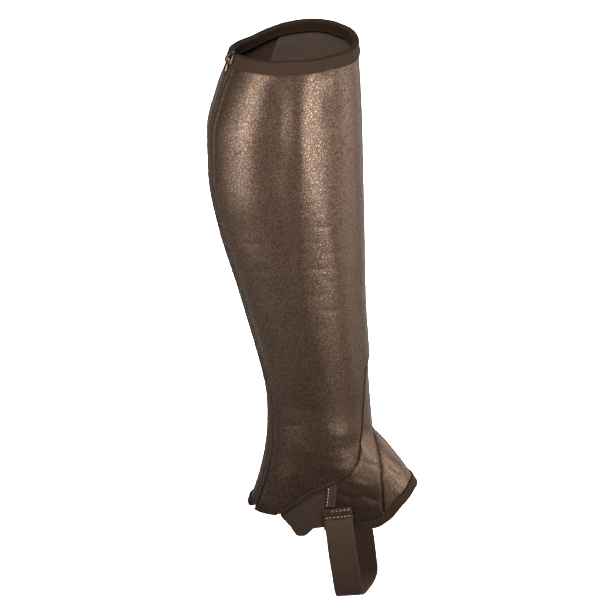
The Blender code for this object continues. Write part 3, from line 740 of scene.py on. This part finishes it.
# The turn falls as the distance from the zip's middle grows, and columns run with the turn
reach = (*np.linspace(GAP / 2, ZIP_HALF_GAP + 0.5, 8), *np.linspace(5.6, ZIP_HALF_GAP + TAPE_LAP, 10))
for word, side in SIDES:
    columns = [zip_column(side * d) for d in reach[::-side]]
    turn, height, _, _ = place_grid(columns, tape_top, tape_foot, 2.5)
    shell(f"zip_tape_{word}_cloth", turn, height, TAPE.outer, TAPE.inner, tape_cloth)


# Pieces of the foot

def folded_in(turn, height, below):
    """Creases and soft hollows of the front pieces, less near their edges."""
    soft = pressed(CREASES, turn, height) + pressed(FOOT_FOLDS, turn, height)
    return soft * ease(below, 6) + pressed(TUCK, turn, height)


shin = float(shifted(0.0, -230.0, SEWN / 2))
vamp_turns = (shin, shin + 0.2, shin + 0.6, shin + 1.2, shin + 2.0, *np.arange(3.5, 59.5, 1.5), 60.0,
              GODET_END, 60.9, *np.arange(62.0, 91.0, 1.5))
for word, side in SIDES:
    columns = [fixed(side * t) for t in vamp_turns]
    columns += [between(fixed(side * 90.0), vamp_back(side, 0.05), s) for s in (0.4, 0.8, 1.0)]
    turn, height, from_top, from_low = place_grid(columns[::side], lap_top, vamp_low, 2.0, PLAIN, NEAR)
    from_shin = (np.abs(turn) - shin) * degree_size(turn, height)
    from_seam = np.where(np.abs(turn) <= GODET_END, from_low, 30.0)
    from_lap = from_top - LAP
    outer = VAMP.outer + folded_in(turn, height, from_lap) - rounded(np.maximum(from_seam, 0), 0.7)
    outer -= 0.35 * bell(from_seam, 2.2, 0.7) + 0.7 * bell(from_seam, 0, 3.0)
    outer -= 0.25 * bell(from_shin, 0, 0.5) + 0.12 * bell(from_shin, 2.2, 0.5)
    outer -= 0.7 * bell(from_lap, -LAP_CLEAR, 1.3)
    inner = np.minimum(VAMP.inner, outer - LEAST_WALL)
    vamp = shell(f"vamp_{word}_leather", turn, height, outer, inner, vamp_leather)
    # Painted shade on the vamp: along the seam with the godet, a painted shadow below the main panel's
    # lapped edge, and darkening towards the foot.
    painted_lap_shadow = bell(from_lap, -LAP_CLEAR, 1.6) * ease(84 - np.abs(turn), 25)
    painted_low_shade = 0.42 * ease(-303 - height, 14)
    paint_shade(vamp, np.maximum.reduce([0.9 * bell(from_seam, 0, 1.3), painted_lap_shadow, painted_low_shade]))

godet_end = float(shifted(GODET_END, -338.0, -SEWN))
columns = [fixed(t) for t in (-godet_end, *np.arange(-59.0, 59.5, 1.5), godet_end)]
turn, height, from_top, from_low = place_grid(columns, godet_top, vamp_hem, 1.6, NEAR)
outer = VAMP.outer - rounded(np.maximum(from_top, 0), 0.7) - 0.7 * bell(from_top, 0, 2.4)
outer += folded_in(turn, height, np.minimum(from_top, from_low - VAMP_BINDING))
inner = np.minimum(VAMP.inner, outer - LEAST_WALL)
godet = shell("vamp_godet_leather", turn, height, outer, inner, godet_leather)
# Painted shade along the godet's seam with the vamp.
paint_shade(godet, 0.9 * bell(from_top, 0, 1.2))

for word, side in SIDES:
    columns = [between(vamp_back(side, 0.08), fixed(side * GUSSET_END), s) for s in np.linspace(0, 1, 118)]
    turn, height, _, from_low = place_grid(columns[::side], lap_top, gusset_hem, 1.6, PLAIN, NEAR)
    across = (np.abs(turn) - vamp_back_at(height)) * degree_size(turn, height)
    rib = 0.5 - 0.5 * np.cos(2 * math.pi * across / 1.35)
    uneven = 0.06 * np.sin(across * 1.9 + height * 0.23) + 0.05 * np.sin(height * 0.61 + across * 0.7)
    outer = GUSSET.outer - 0.30 * (1 - rib) ** 1.5 - 0.1 + uneven - rounded(np.maximum(from_low, 0), 0.5)
    outer -= 0.35 * bell(from_low, 2.6, 0.7)
    shell(f"gusset_{word}_cloth", turn, height, outer, GUSSET.inner, gusset_cloth)


# Ribbons folded over edges

def folded_ribbon(layer, depth):
    """Cross-section of a folded ribbon, as distances out from the skin and off the edge."""
    near, far, wide = layer.outer + GAP, layer.inner - GAP, BINDING_WALL
    steps = np.linspace(-depth, 0.3, 10)
    outside = [(near + wide - 0.14 * math.sin(7 * s) ** 2 * (s < -1), s) for s in steps[1:-1]]
    middle, half = (near + far) / 2, (near - far) / 2 + wide
    turned = [math.radians(a) for a in np.linspace(12, 168, 9)]
    bow = [(middle + half * math.cos(a), 0.3 + (GAP + wide - 0.3) * math.sin(a)) for a in turned]
    behind = [(far - wide, s) for s in steps[::-1][1:-1] if s > 1.3 - depth]
    start = [(near, 0.25 - depth), (near + 0.3, -depth), (near + wide - 0.3, -depth),
             (near + wide, 0.3 - depth)]
    end = [(far - wide, 1.3 - depth), (far - wide + 0.3, 1 - depth), (far, 1 - depth), (far, GAP),
           (near, GAP)]
    return np.array(start + outside + bow + behind + end)


def bind(name, turns, edge, layer, depth, lip):
    """A ribbon folded over an edge, with its outer lower border a little wavy."""
    section = folded_ribbon(layer, depth)
    out, off = section.T
    heights = edge_line(edge, turns)
    run = running(skin(turns, heights))[:, None]
    wavy = 0.22 * np.sin(run / 11.0) + 0.14 * np.sin(run / 4.3 + 1.0)
    puff = 0.10 * np.sin(run / 6.1 + 0.4) * (out > (layer.outer + layer.inner) / 2)
    spread = off + wavy * ease(-off - depth + 2.5, 2.5)
    rings = skin(turns[:, None] + 0 * spread, heights[:, None] + lip * spread, out + puff)
    cloth = np.stack(np.broadcast_arrays(run, running(section), 0.0), axis=-1)
    bars(name, rings[None], ribbon_cloth, cloth)


rim_start = beside(outer_edge_at, 1.0)(ZIP_TOP)
rim_end = beside(outer_edge_at, -2 * ZIP_HALF_GAP - 1.0, 360)(ZIP_TOP)
hem_start = float(outer_edge_at(ZIP_FOOT))
hem_end = float(stretch_end(ZIP_FOOT))
flare = float(vamp_back_at(-353.0)) - 0.2
hem_layer = Layer(LEATHER.outer, TAPE.inner)
bind("rim_binding_ribbon", np.linspace(rim_start, rim_end, 300), rim_edge,
     Layer(LEATHER.outer, LINING.inner), RIM_BINDING, 1)
bind("hem_binding_outer_ribbon", np.linspace(hem_start, -134.0, 40), panel_edge, hem_layer, HEM_BINDING, -1)
bind("hem_binding_inner_ribbon", np.linspace(134.0, hem_end, 90), panel_edge, hem_layer, HEM_BINDING, -1)
bind("vamp_binding_ribbon", np.linspace(-flare, flare, 230), vamp_hem, VAMP, VAMP_BINDING, -1)

# Upright tapes over the seams between gusset and vamp
tape_low = STRAP_LINE[0][2] + 1.5
across, down = np.meshgrid(np.linspace(0, 1, 25), np.linspace(0, 1, 40))
tops = [float(panel_edge_at(t)) - 2 * GAP for t in SEAM_TAPE_TOP]
turn = part_way(part_way(*SEAM_TAPE_TOP, across), part_way(*SEAM_TAPE_LOW, across), down)
height = part_way(part_way(*tops, across), tape_low, down)
width = degree_size(turn, height) * (SEAM_TAPE_TOP[1] - SEAM_TAPE_TOP[0])
outer = SEAM_TAPE.outer - rounded(np.minimum(across, 1 - across) * width, 0.7)
outer += 0.12 * np.sin(down * 19 + across * 3) - 0.35 * bell(across, 0.42, 0.07)
for word, side in SIDES:
    shell(f"seam_tape_{word}_ribbon", (side * turn)[:, ::side], height[:, ::side], outer[:, ::side],
          SEAM_TAPE.inner, tape_cloth)


# Strap under the foot

def strap_frames(places):
    """Middles, width directions and outward directions of the strap at places along it."""
    middle = spline(STRAP_LINE, places)
    run = unit(spline(STRAP_LINE, np.minimum(places + 0.1, last))
               - spline(STRAP_LINE, np.maximum(places - 0.1, 0)))
    out = np.stack([0 * places, middle[:, 1], np.minimum(0.0, middle[:, 2] + 405)], axis=1)
    out = unit(out - run * np.sum(run * out, axis=1, keepdims=True))
    across = unit(np.cross(run, out))
    return middle, across * np.where(across[:, :1] < 0, -1, 1), out


def band(name, places, out_from, thick, face, back, finish):
    """A flat band along the strap's line; face and back give relief at places across it."""
    middle, across, out = strap_frames(places)
    run = running(middle)[:, None]
    share = np.array((0, 0.008, 0.022, 0.045, *np.linspace(0.08, 0.92, 61), 0.955, 0.978, 0.992, 1))
    x = (share - 0.5) * STRAP_WIDTH
    drop = rounded((0.5 - np.abs(share - 0.5)) * STRAP_WIDTH, thick * 0.42)
    high = out_from + thick / 2 - drop + face(run, x)
    low = out_from - thick / 2 + drop + back(run, x)
    wander = 0.16 * np.sin(run / 9.0) * ease(np.abs(x), STRAP_WIDTH / 2) ** 4
    place = middle[:, None] + across[:, None] * (x + wander)[..., None]
    cloth = np.stack(np.broadcast_arrays(x, run, 0.0), axis=-1)
    wall_between(name, place + out[:, None] * high[..., None], place + out[:, None] * low[..., None],
                 cloth, finish)


def strap_face(run, x):
    """Fine ribs along the strap, with a thicker selvedge."""
    ribs = 0.09 * np.cos(2 * math.pi * x / 1.9) + 0.10 * bell(np.abs(x), 11.6, 0.5)
    return ribs + 0.10 * np.sin(run / 13.0 + x / 9.0)


def strap_back(run, x):
    """The same ribs seen from the other face."""
    return -0.07 * np.cos(2 * math.pi * x / 1.9) + 0.05 * np.sin(run / 13.0 + x / 9.0)


def patch_face(run, x):
    """A patch that is a little higher in the middle, pressed in along its two stitch rows."""
    pillow = 0.12 * np.cos(np.clip(x / 12.5, -1, 1) * math.pi / 2)
    return pillow - 0.22 * bell(run, 1.8, 0.5) - 0.22 * bell(run, 7.2, 0.5)


def flat_back(run, x):
    """No relief."""
    return 0.0 * run + 0.0 * x


last = len(STRAP_LINE) - 1
band("stirrup_strap_elastic", np.linspace(0, last, 260), 0.0, STRAP_WALL, strap_face, strap_back,
     strap_cloth)
patch_share = PATCH_LENGTH / np.linalg.norm(np.subtract(STRAP_LINE[1], STRAP_LINE[0]))
patch_out = STRAP_WALL / 2 + GAP + PATCH_WALL / 2
outer_places = np.linspace(0, patch_share, 28)
for word, places in (("outer", outer_places), ("inner", last - outer_places)):
    band(f"strap_patch_{word}_leather", places, patch_out, PATCH_WALL, patch_face, flat_back, vamp_leather)


# Sewing threads

def row(points, normals, length, gap, swing=0.0):
    """Stitches along a line, as starts, ends and normals; swing makes them a zigzag."""
    run = running(points)
    count = int(run[-1] / (length + gap))
    start = (np.arange(count) + 0.5) * (run[-1] / count) - length / 2 + rng.uniform(-0.08, 0.08, count)
    flip = np.where(np.arange(count) % 2 == 0, 1.0, -1.0)[:, None] if swing else 1.0

    def along(values, at):
        return np.stack([np.interp(at, run, values[:, k]) for k in range(3)], axis=1)

    ends = []
    for place, side in ((start, 1.0), (start + length, -1.0)):
        normal = unit(along(normals, place))
        beside_row = unit(np.cross(normal, along(points, place + 0.5) - along(points, place - 0.5)))
        ends.append(along(points, place) + beside_row * swing * side * flip)
    return ends[0], ends[1], normal


def skin_row(turns, heights, out, length, gap, swing=0.0, facing=1):
    """A stitch row along a line on the skin; facing -1 is on its inside."""
    return row(skin(turns, heights, out), facing * skin_normal(turns, heights), length, gap, swing)


def threads(name, rows, radius, finish):
    """One object with a short rounded thread for each stitch of some rows."""
    first, second, normal = (np.concatenate([r[k] for r in rows]) for k in range(3))
    share = np.array([0.0, 0.08, 0.3, 0.5, 0.7, 0.92, 1.0])
    size = radius * np.array([0.35, 0.85, 1.0, 1.06, 1.0, 0.85, 0.35])
    lift = radius * np.array([-0.9, -0.25, 0.35, 0.5, 0.35, -0.25, -0.9])
    run = second - first
    middle = first[:, None] + run[:, None] * share[None, :, None] + normal[:, None] * lift[None, :, None]
    sideways = unit(np.cross(normal, unit(run)))
    turn = np.radians(np.arange(0, 360, 60))[:, None]
    ring = np.cos(turn) * sideways[:, None, None] + 0.85 * np.sin(turn) * normal[:, None, None]
    bars(name, middle[:, :, None] + ring * size[None, :, None, None], finish)


turns = np.linspace(-131, 131, 900)
heights = edge_line(panel_edge, turns, HEM_ROW)
seam_rows = [skin_row(turns, heights, panel_face(turns, heights, HEM_ROW) + 0.02, 3.2, 1.5)]
heights = np.linspace(86.0, -335.0, 500)
for column, face in ((beside(outer_edge_at, 4.6), panel_face),
                     (beside(inner_edge_at, -SEAM_ROW), panel_face),
                     (beside(inner_edge_at, GAP + SEAM_ROW), stretch_face),
                     (beside(outer_edge_at, -2 * ZIP_HALF_GAP - 3.2, 360), stretch_face)):
    turns = column(heights)
    seam_rows.append(skin_row(turns, heights, face(turns, heights), 3.2, 1.5))

foot_rows = []
for side in (-1, 1):
    turns = side * np.linspace(2.5, 59.0, 260)
    for edge, distance, sunk in ((vamp_low, 2.2, 0.72), (godet_top, -2.2, 0.36)):
        heights = edge_line(edge, turns, distance)
        out = VAMP.outer - sunk + folded_in(turns, heights, 2.0)
        foot_rows.append(skin_row(turns, heights, out, 2.6, 1.2))
    heights = np.linspace(float(panel_edge_at(3)) + 1, float(vamp_seam_at(3)) + 2.5, 80)
    turns = side * shifted(shin, heights, 2.2)
    out = VAMP.outer - 0.10 + folded_in(turns, heights, 20.0)
    foot_rows.append(skin_row(turns, heights, out, 2.6, 1.2))
    turns = side * np.linspace(99.8, GUSSET_END - 0.5, 200)
    heights = edge_line(gusset_hem, turns, 2.6)
    foot_rows.append(skin_row(turns, heights, GUSSET.outer - 0.35, 2.4, 1.1))

turns = np.linspace(rim_start + 0.6, rim_end - 0.6, 1500)
heights = edge_line(rim_edge, turns) - RIM_BINDING + 1.9
outside = LEATHER.outer + GAP + BINDING_WALL + 0.02
inside = LINING.inner - GAP - BINDING_WALL - 0.02
binding_rows = [skin_row(turns, heights, outside, 1.25, 0.05, 0.75),
                skin_row(turns, heights + 0.4, inside, 1.25, 0.05, 0.7, facing=-1)]
for start, end, count, edge, above, out in (
        (hem_start + 0.5, -134.5, 300, panel_edge, HEM_BINDING - 1.4, outside),
        (134.6, rim_end - 2.5, 300, panel_edge, HEM_BINDING - 1.4, outside),
        (-flare + 0.5, flare - 0.5, 900, vamp_hem, VAMP_BINDING - 1.5, VAMP.outer + outside)):
    turns = np.linspace(start, end, count)
    binding_rows.append(skin_row(turns, edge_line(edge, turns) + above, out, 2.4, 1.1))

tape_rows, pale_rows = [], []
down = np.linspace(0.02, 0.98, 60)
for side in (-1, 1):
    for across, rows in ((0.14, tape_rows), (0.86, pale_rows)):
        top = part_way(*SEAM_TAPE_TOP, across)
        heights = part_way(float(panel_edge_at(top)), tape_low, down)
        turns = side * part_way(top, part_way(*SEAM_TAPE_LOW, across), down)
        rows.append(skin_row(turns, heights, SEAM_TAPE.outer + 0.02, 2.2, 1.0))

# Two stitch rows across each strap patch: how far down it they lie and where they start
for places in (outer_places, last - outer_places):
    for along, start in ((1.8, -5.5), (7.2, -11.6)):
        middle, across, out = strap_frames(places)
        k = int(np.interp(along, np.linspace(0, PATCH_LENGTH, len(places)), np.arange(len(places))))
        x = np.linspace(start, 11.6, 60)[:, None]
        points = middle[k] + across[k] * x + out[k] * (patch_out + PATCH_WALL / 2 - 0.1)
        pale_rows.append(row(points, np.repeat(out[k][None], 60, axis=0), 2.1, 0.9))

threads("panel_sewing", seam_rows, 0.34, dark_thread)
threads("foot_sewing", foot_rows, 0.30, dark_thread)
threads("binding_sewing", binding_rows, 0.24, binding_thread)
threads("tape_sewing", tape_rows, 0.24, dark_thread)
threads("patch_sewing", pale_rows, 0.27, pale_thread)


# Zip

def zip_points(distance, height, out):
    """Points beside the zip's middle line."""
    return skin(zip_column(distance)(height), height, out)


SLIDER = 91.5
SLIDER_LENGTH = 11.0
PIVOT = 3.6
COIL_PITCH = 1.45
COIL_LOOP = np.array((
    (2.7, -1.25), (2.78, -0.75), (2.6, -0.22), (2.1, 0.0), (1.2, 0.06), (0.3, 0.04), (-0.35, -0.08),
    (-0.62, -0.42), (-0.42, -0.82), (0.1, -1.0), (1.2, -1.2), (2.2, -1.35),
))
chain_top = SLIDER - SLIDER_LENGTH / 2 - 0.6
chain_low = float(panel_edge_at(158)) + TAPE_ABOVE_HEM + 1.2
ahead = np.roll(COIL_LOOP, -1, axis=0) - np.roll(COIL_LOOP, 1, axis=0)
square = np.stack([ahead[:, 1], -ahead[:, 0]], axis=1) / np.linalg.norm(ahead, axis=1)[:, None]
turn = np.radians(np.arange(0, 360, 60) + 30)
radius = np.where(COIL_LOOP[:, :1] < 0, 0.37, 0.31)
flat = COIL_LOOP[:, None] + square[:, None] * (radius * np.cos(turn))[..., None]
for word, side in SIDES:
    levels = np.arange(chain_top, chain_low, -COIL_PITCH) - (0.0 if side < 0 else COIL_PITCH / 2)
    heights = levels[:, None, None] + 0.34 * np.sin(turn) + 0.10 * (flat[..., 0] - 1) * side
    bars(f"coil_{word}", zip_points(side * flat[..., 0], heights, flat[..., 1]), coil_plastic, closed=True)

heights = np.linspace(chain_top, chain_low, 500)
coil_rows = [skin_row(zip_column(d)(heights), heights, 0.32, 2.2, 0.3) for d in (-2.0, -1.3, 1.3, 2.0)]
threads("coil_sewing", coil_rows, 0.17, dark_thread)

# The slider's own frame: its foot on the skin, the way out, down the zip and across it
foot = zip_points(0.0, SLIDER, 0.0)
zip_out = skin_normal(zip_column(0.0)(SLIDER), SLIDER)
zip_down = zip_points(0.0, SLIDER - SLIDER_LENGTH, 0.0) - foot
zip_down = unit(zip_down - zip_out * np.dot(zip_down, zip_out))
zip_side = np.cross(zip_out, zip_down)


def slider_points(side, down, out):
    """Points in the slider's frame."""
    side, down, out = (axis[..., None] for axis in np.broadcast_arrays(side, down, out))
    return foot + zip_side * side + zip_down * down + zip_out * out


def metal(name, rings, closed=False):
    """A metal piece of the slider from rings of points."""
    made = bars(name, np.array(rings)[None], zip_metal, closed=closed)
    made.data.set_sharp_from_angle(angle=math.radians(40))


def outline(half):
    """A closed smooth outline through corners of its right half."""
    corners = list(half) + [(-x, y) for x, y in half[-2:0:-1]]
    return spline(corners, np.linspace(0, len(corners), 96, endpoint=False), closed=True)


def plate(name, shape, levels):
    """A plate with rounded edges: an outline drawn in by several insets, each at a distance out."""
    size = np.maximum(np.linalg.norm(shape, axis=1, keepdims=True), 0.01)
    metal(name, [slider_points(*(shape * (1 - inset / size)).T, out) for inset, out in levels])


plate("slider_crown", outline(((0, -4.2), (1.6, -5.0), (3.4, -5.0), (4.2, -3.4), (4.2, -0.6), (3.7, 2.0),
                               (3.2, 4.2), (2.2, 5.0), (0, 5.05))),
      ((1.2, 0.62), (0.15, 0.62), (0.0, 0.8), (0.0, 1.7), (0.12, 2.0), (0.45, 2.2), (1.4, 2.28),
       (2.2, 2.2)))
plate("slider_base", outline(((0, -4.4), (1.6, -5.4), (3.0, -5.2), (3.5, -3.4), (3.5, 0), (3.3, 3.4),
                              (2.8, 5.2), (0, 5.4))),
      ((1.2, -1.6), (0.3, -1.6), (0.0, -1.3), (0.0, 0.45), (0.2, 0.62), (1.0, 0.62)))

# The bail, a low arch over the crown
half_arch = [(-3.15, 2.0), (-3.2, 2.9), (-3.15, 3.7), (-2.9, 4.4), (-2.3, 4.8), (-1.2, 4.95), (0, 5.0)]
arch = np.array(half_arch + [(-x, y) for x, y in half_arch[-2::-1]])
ahead = unit(np.gradient(arch, axis=0))
square = np.stack([ahead[:, 1], -ahead[:, 0]], axis=1)
around = np.radians(np.arange(0, 360, 30))
wide, thick = (reach * np.sign(way(around)) * np.abs(way(around)) ** 0.6
               for reach, way in ((0.88, np.cos), (0.42, np.sin)))
flat = arch[:, None] + square[:, None] * thick[None, :, None]
metal("slider_bail", slider_points(wide, flat[..., 0], flat[..., 1]))

# The pull tab: outlines between its eye and its rim, with a raised border on both faces
grip = outline(((0, -0.5), (1.4, -0.35), (2.2, 0.6), (2.35, 3.0), (2.1, 6.0), (2.2, 9.0), (2.5, 11.4),
                (2.0, 13.0), (0, 13.5)))
eye = outline(((0, 0.55), (0.9, 0.65), (1.3, 1.2), (1.3, 2.7), (1.25, 4.2), (0.8, 4.8), (0, 4.9)))
front = [(0.0, 0.30), (0.04, 0.44), (0.12, 0.50), (0.40, 0.50), (0.46, 0.36), (0.78, 0.36),
         (0.84, 0.50), (0.94, 0.50), (1.0, 0.34)]
levels = front + [(share, -out) for share, out in reversed(front)]
metal("pull_tab", [slider_points(*part_way(eye, grip, share).T, PIVOT + out) for share, out in levels],
      closed=True)

# What each piece stands for and rides on and, for cloth, its flat cut in metres and square
# metres: piece, node, slot, width, length, area, how it is held
PIECES = (
    ("main_panel_leather", "main_panel", "leather", 0.292, 0.452, 0.0998, "hung"),
    ("lining_cloth", "lining", "lining", 0.262, 0.443, 0.0885, "hung"),
    ("stretch_panel_cloth", "stretch_panel", "elastic", 0.081, 0.448, 0.0235, "stretched"),
    ("rim_binding_ribbon", "rim_binding", "ribbon", 0.0255, 0.303, None, "folded"),
    ("hem_binding_outer_ribbon", "hem_binding_outer", "ribbon", 0.0175, 0.025, None, "folded"),
    ("hem_binding_inner_ribbon", "hem_binding_inner", "ribbon", 0.0175, 0.047, None, "folded"),
    ("zip_tape_outer_cloth", "zip_tape_outer", "ribbon", 0.017, 0.442, None, "hung"),
    ("zip_tape_inner_cloth", "zip_tape_inner", "ribbon", 0.016, 0.442, None, "hung"),
    ("coil_outer", "zip_chain", "zip_plastic"),
    ("coil_inner", "zip_chain", "zip_plastic"),
    ("slider_base", "zip_slider", "metal"),
    ("slider_crown", "zip_slider", "metal"),
    ("slider_bail", "zip_slider", "metal"),
    ("pull_tab", "zip_pull", "metal"),
    ("vamp_outer_leather", "vamp_outer", "leather", 0.085, 0.150, 0.00545, "hung"),
    ("vamp_inner_leather", "vamp_inner", "leather", 0.085, 0.150, 0.00545, "hung"),
    ("vamp_godet_leather", "vamp_godet", "leather", 0.158, 0.068, 0.00406, "hung"),
    ("vamp_binding_ribbon", "vamp_binding", "ribbon", 0.017, 0.213, None, "folded"),
    ("gusset_outer_cloth", "gusset_outer", "ribbed_elastic", 0.050, 0.046, 0.00146, "stretched"),
    ("gusset_inner_cloth", "gusset_inner", "ribbed_elastic", 0.050, 0.046, 0.00146, "stretched"),
    ("seam_tape_outer_ribbon", "seam_tape_outer", "ribbon", 0.010, 0.0245, 0.00021, "hung"),
    ("seam_tape_inner_ribbon", "seam_tape_inner", "ribbon", 0.010, 0.0245, 0.00021, "hung"),
    ("stirrup_strap_elastic", "stirrup_strap", "elastic", 0.025, 0.248, None, "hung"),
    ("strap_patch_outer_leather", "strap_patch_outer", "leather", 0.0255, 0.010, 0.00024, "hung"),
    ("strap_patch_inner_leather", "strap_patch_inner", "leather", 0.0255, 0.010, 0.00024, "hung"),
    ("panel_sewing", None, "leather"),
    ("foot_sewing", None, "leather"),
    ("binding_sewing", None, "ribbon"),
    ("tape_sewing", None, "ribbon"),
    ("patch_sewing", None, "leather"),
    ("coil_sewing", None, "zip_plastic"),
)
for name, node, slot, *cut in PIECES:
    piece = bpy.data.objects[name]
    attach(piece, "pull" if name == "pull_tab" else "chap")
    if node:
        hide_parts(node)
    if cut:
        width, length, area, held = cut

# A wide pale floor, a little uneven in tone
FLOOR_HALF, FLOOR_LEVEL = 30.0, -0.95
mesh = bpy.data.meshes.new("floor")
corners = [(x * FLOOR_HALF, y * FLOOR_HALF, FLOOR_LEVEL) for x, y in ((-1, -1), (1, -1), (1, 1), (-1, 1))]
mesh.from_pydata(corners, [], [(0, 1, 2, 3)])
floor = bpy.data.objects.new("floor", mesh)
bpy.context.scene.collection.objects.link(floor)
f = Finish("pale floor")
cloud = f.noise(f.place(), 0.7, 2.0)
f.to("Base Color", f.mix(cloud, (0.93, 0.93, 0.93), (0.97, 0.97, 0.97)))
f.to("Roughness", f.grow(cloud, 0.05, 0.9))
mesh.materials.append(f.material)

# Square lights: name, place, what they aim at, size, power, tint and spread in degrees
DAY = (1.0, 0.98, 0.96)
LIGHTS = (
    ("left light", (-0.55, -0.50, -0.11), (0, 0, 0.05), (0.54, 0.42), 2.6, DAY, 75),
    ("right light", (0.41, -0.62, -0.14), (0, 0, 0.05), (0.20, 0.40), 1.7, DAY, 75),
    ("front light", (0.88, -0.20, -0.14), (0.08, -0.03, -0.3), (0.3, 0.2), 0.55, DAY, 75),
    ("back light", (1.0, 1.05, -0.15), (0.05, 0, -0.15), (0.8, 1.0), 1.6, (1.0, 0.82, 0.68), 90),
    ("side light", (1.45, -0.02, -0.15), (0, 0, -0.1), (1.0, 1.2), 7, (1.0, 0.86, 0.74), 100),
    ("top light", (0.0, -0.75, 1.1), (0, 0, 0.05), (0.6, 0.6), 5.5, (1.0, 0.95, 0.90), 60),
    ("floor light", (0.0, 1.75, 1.2), (0, 1.75, -0.95), (1.2, 1.6), 45, (1.0, 1.0, 1.0), 50),
)
for name, place, target, size, power, tint, spread in LIGHTS:
    light = bpy.data.lights.new(name, "AREA")
    light.shape = "RECTANGLE"
    light.size, light.size_y = size
    light.energy = power
    light.color = tint
    light.spread = math.radians(spread)
    lamp = bpy.data.objects.new(name, light)
    lamp.location = place
    lamp.rotation_euler = (Vector(target) - Vector(place)).to_track_quat("-Z", "Y").to_euler()
    lamp.visible_camera = False
    bpy.context.scene.collection.objects.link(lamp)
world = bpy.data.worlds.new("studio")
world.use_nodes = True
background = world.node_tree.nodes["Background"].inputs
background["Color"].default_value = (1.0, 1.0, 1.0, 1.0)
background["Strength"].default_value = 0.072
bpy.context.scene.world = world

# The camera's focal length in pixels of a picture that is 612 wide
FOCAL, PICTURE, SENSOR = 4117.6, 612, 36.0
camera = bpy.data.cameras.new("camera")
camera.sensor_width = SENSOR
camera.lens = FOCAL / PICTURE * SENSOR
camera.clip_end = 100.0
viewer = bpy.data.objects.new("camera", camera)
viewer.location = (0.01785, -3.17872, 1.47082)
viewer.rotation_euler = (math.radians(63.0), 0.0, 0.0)
bpy.context.scene.collection.objects.link(viewer)
bpy.context.scene.camera = viewer
bpy.context.scene.view_settings.view_transform = "Standard"
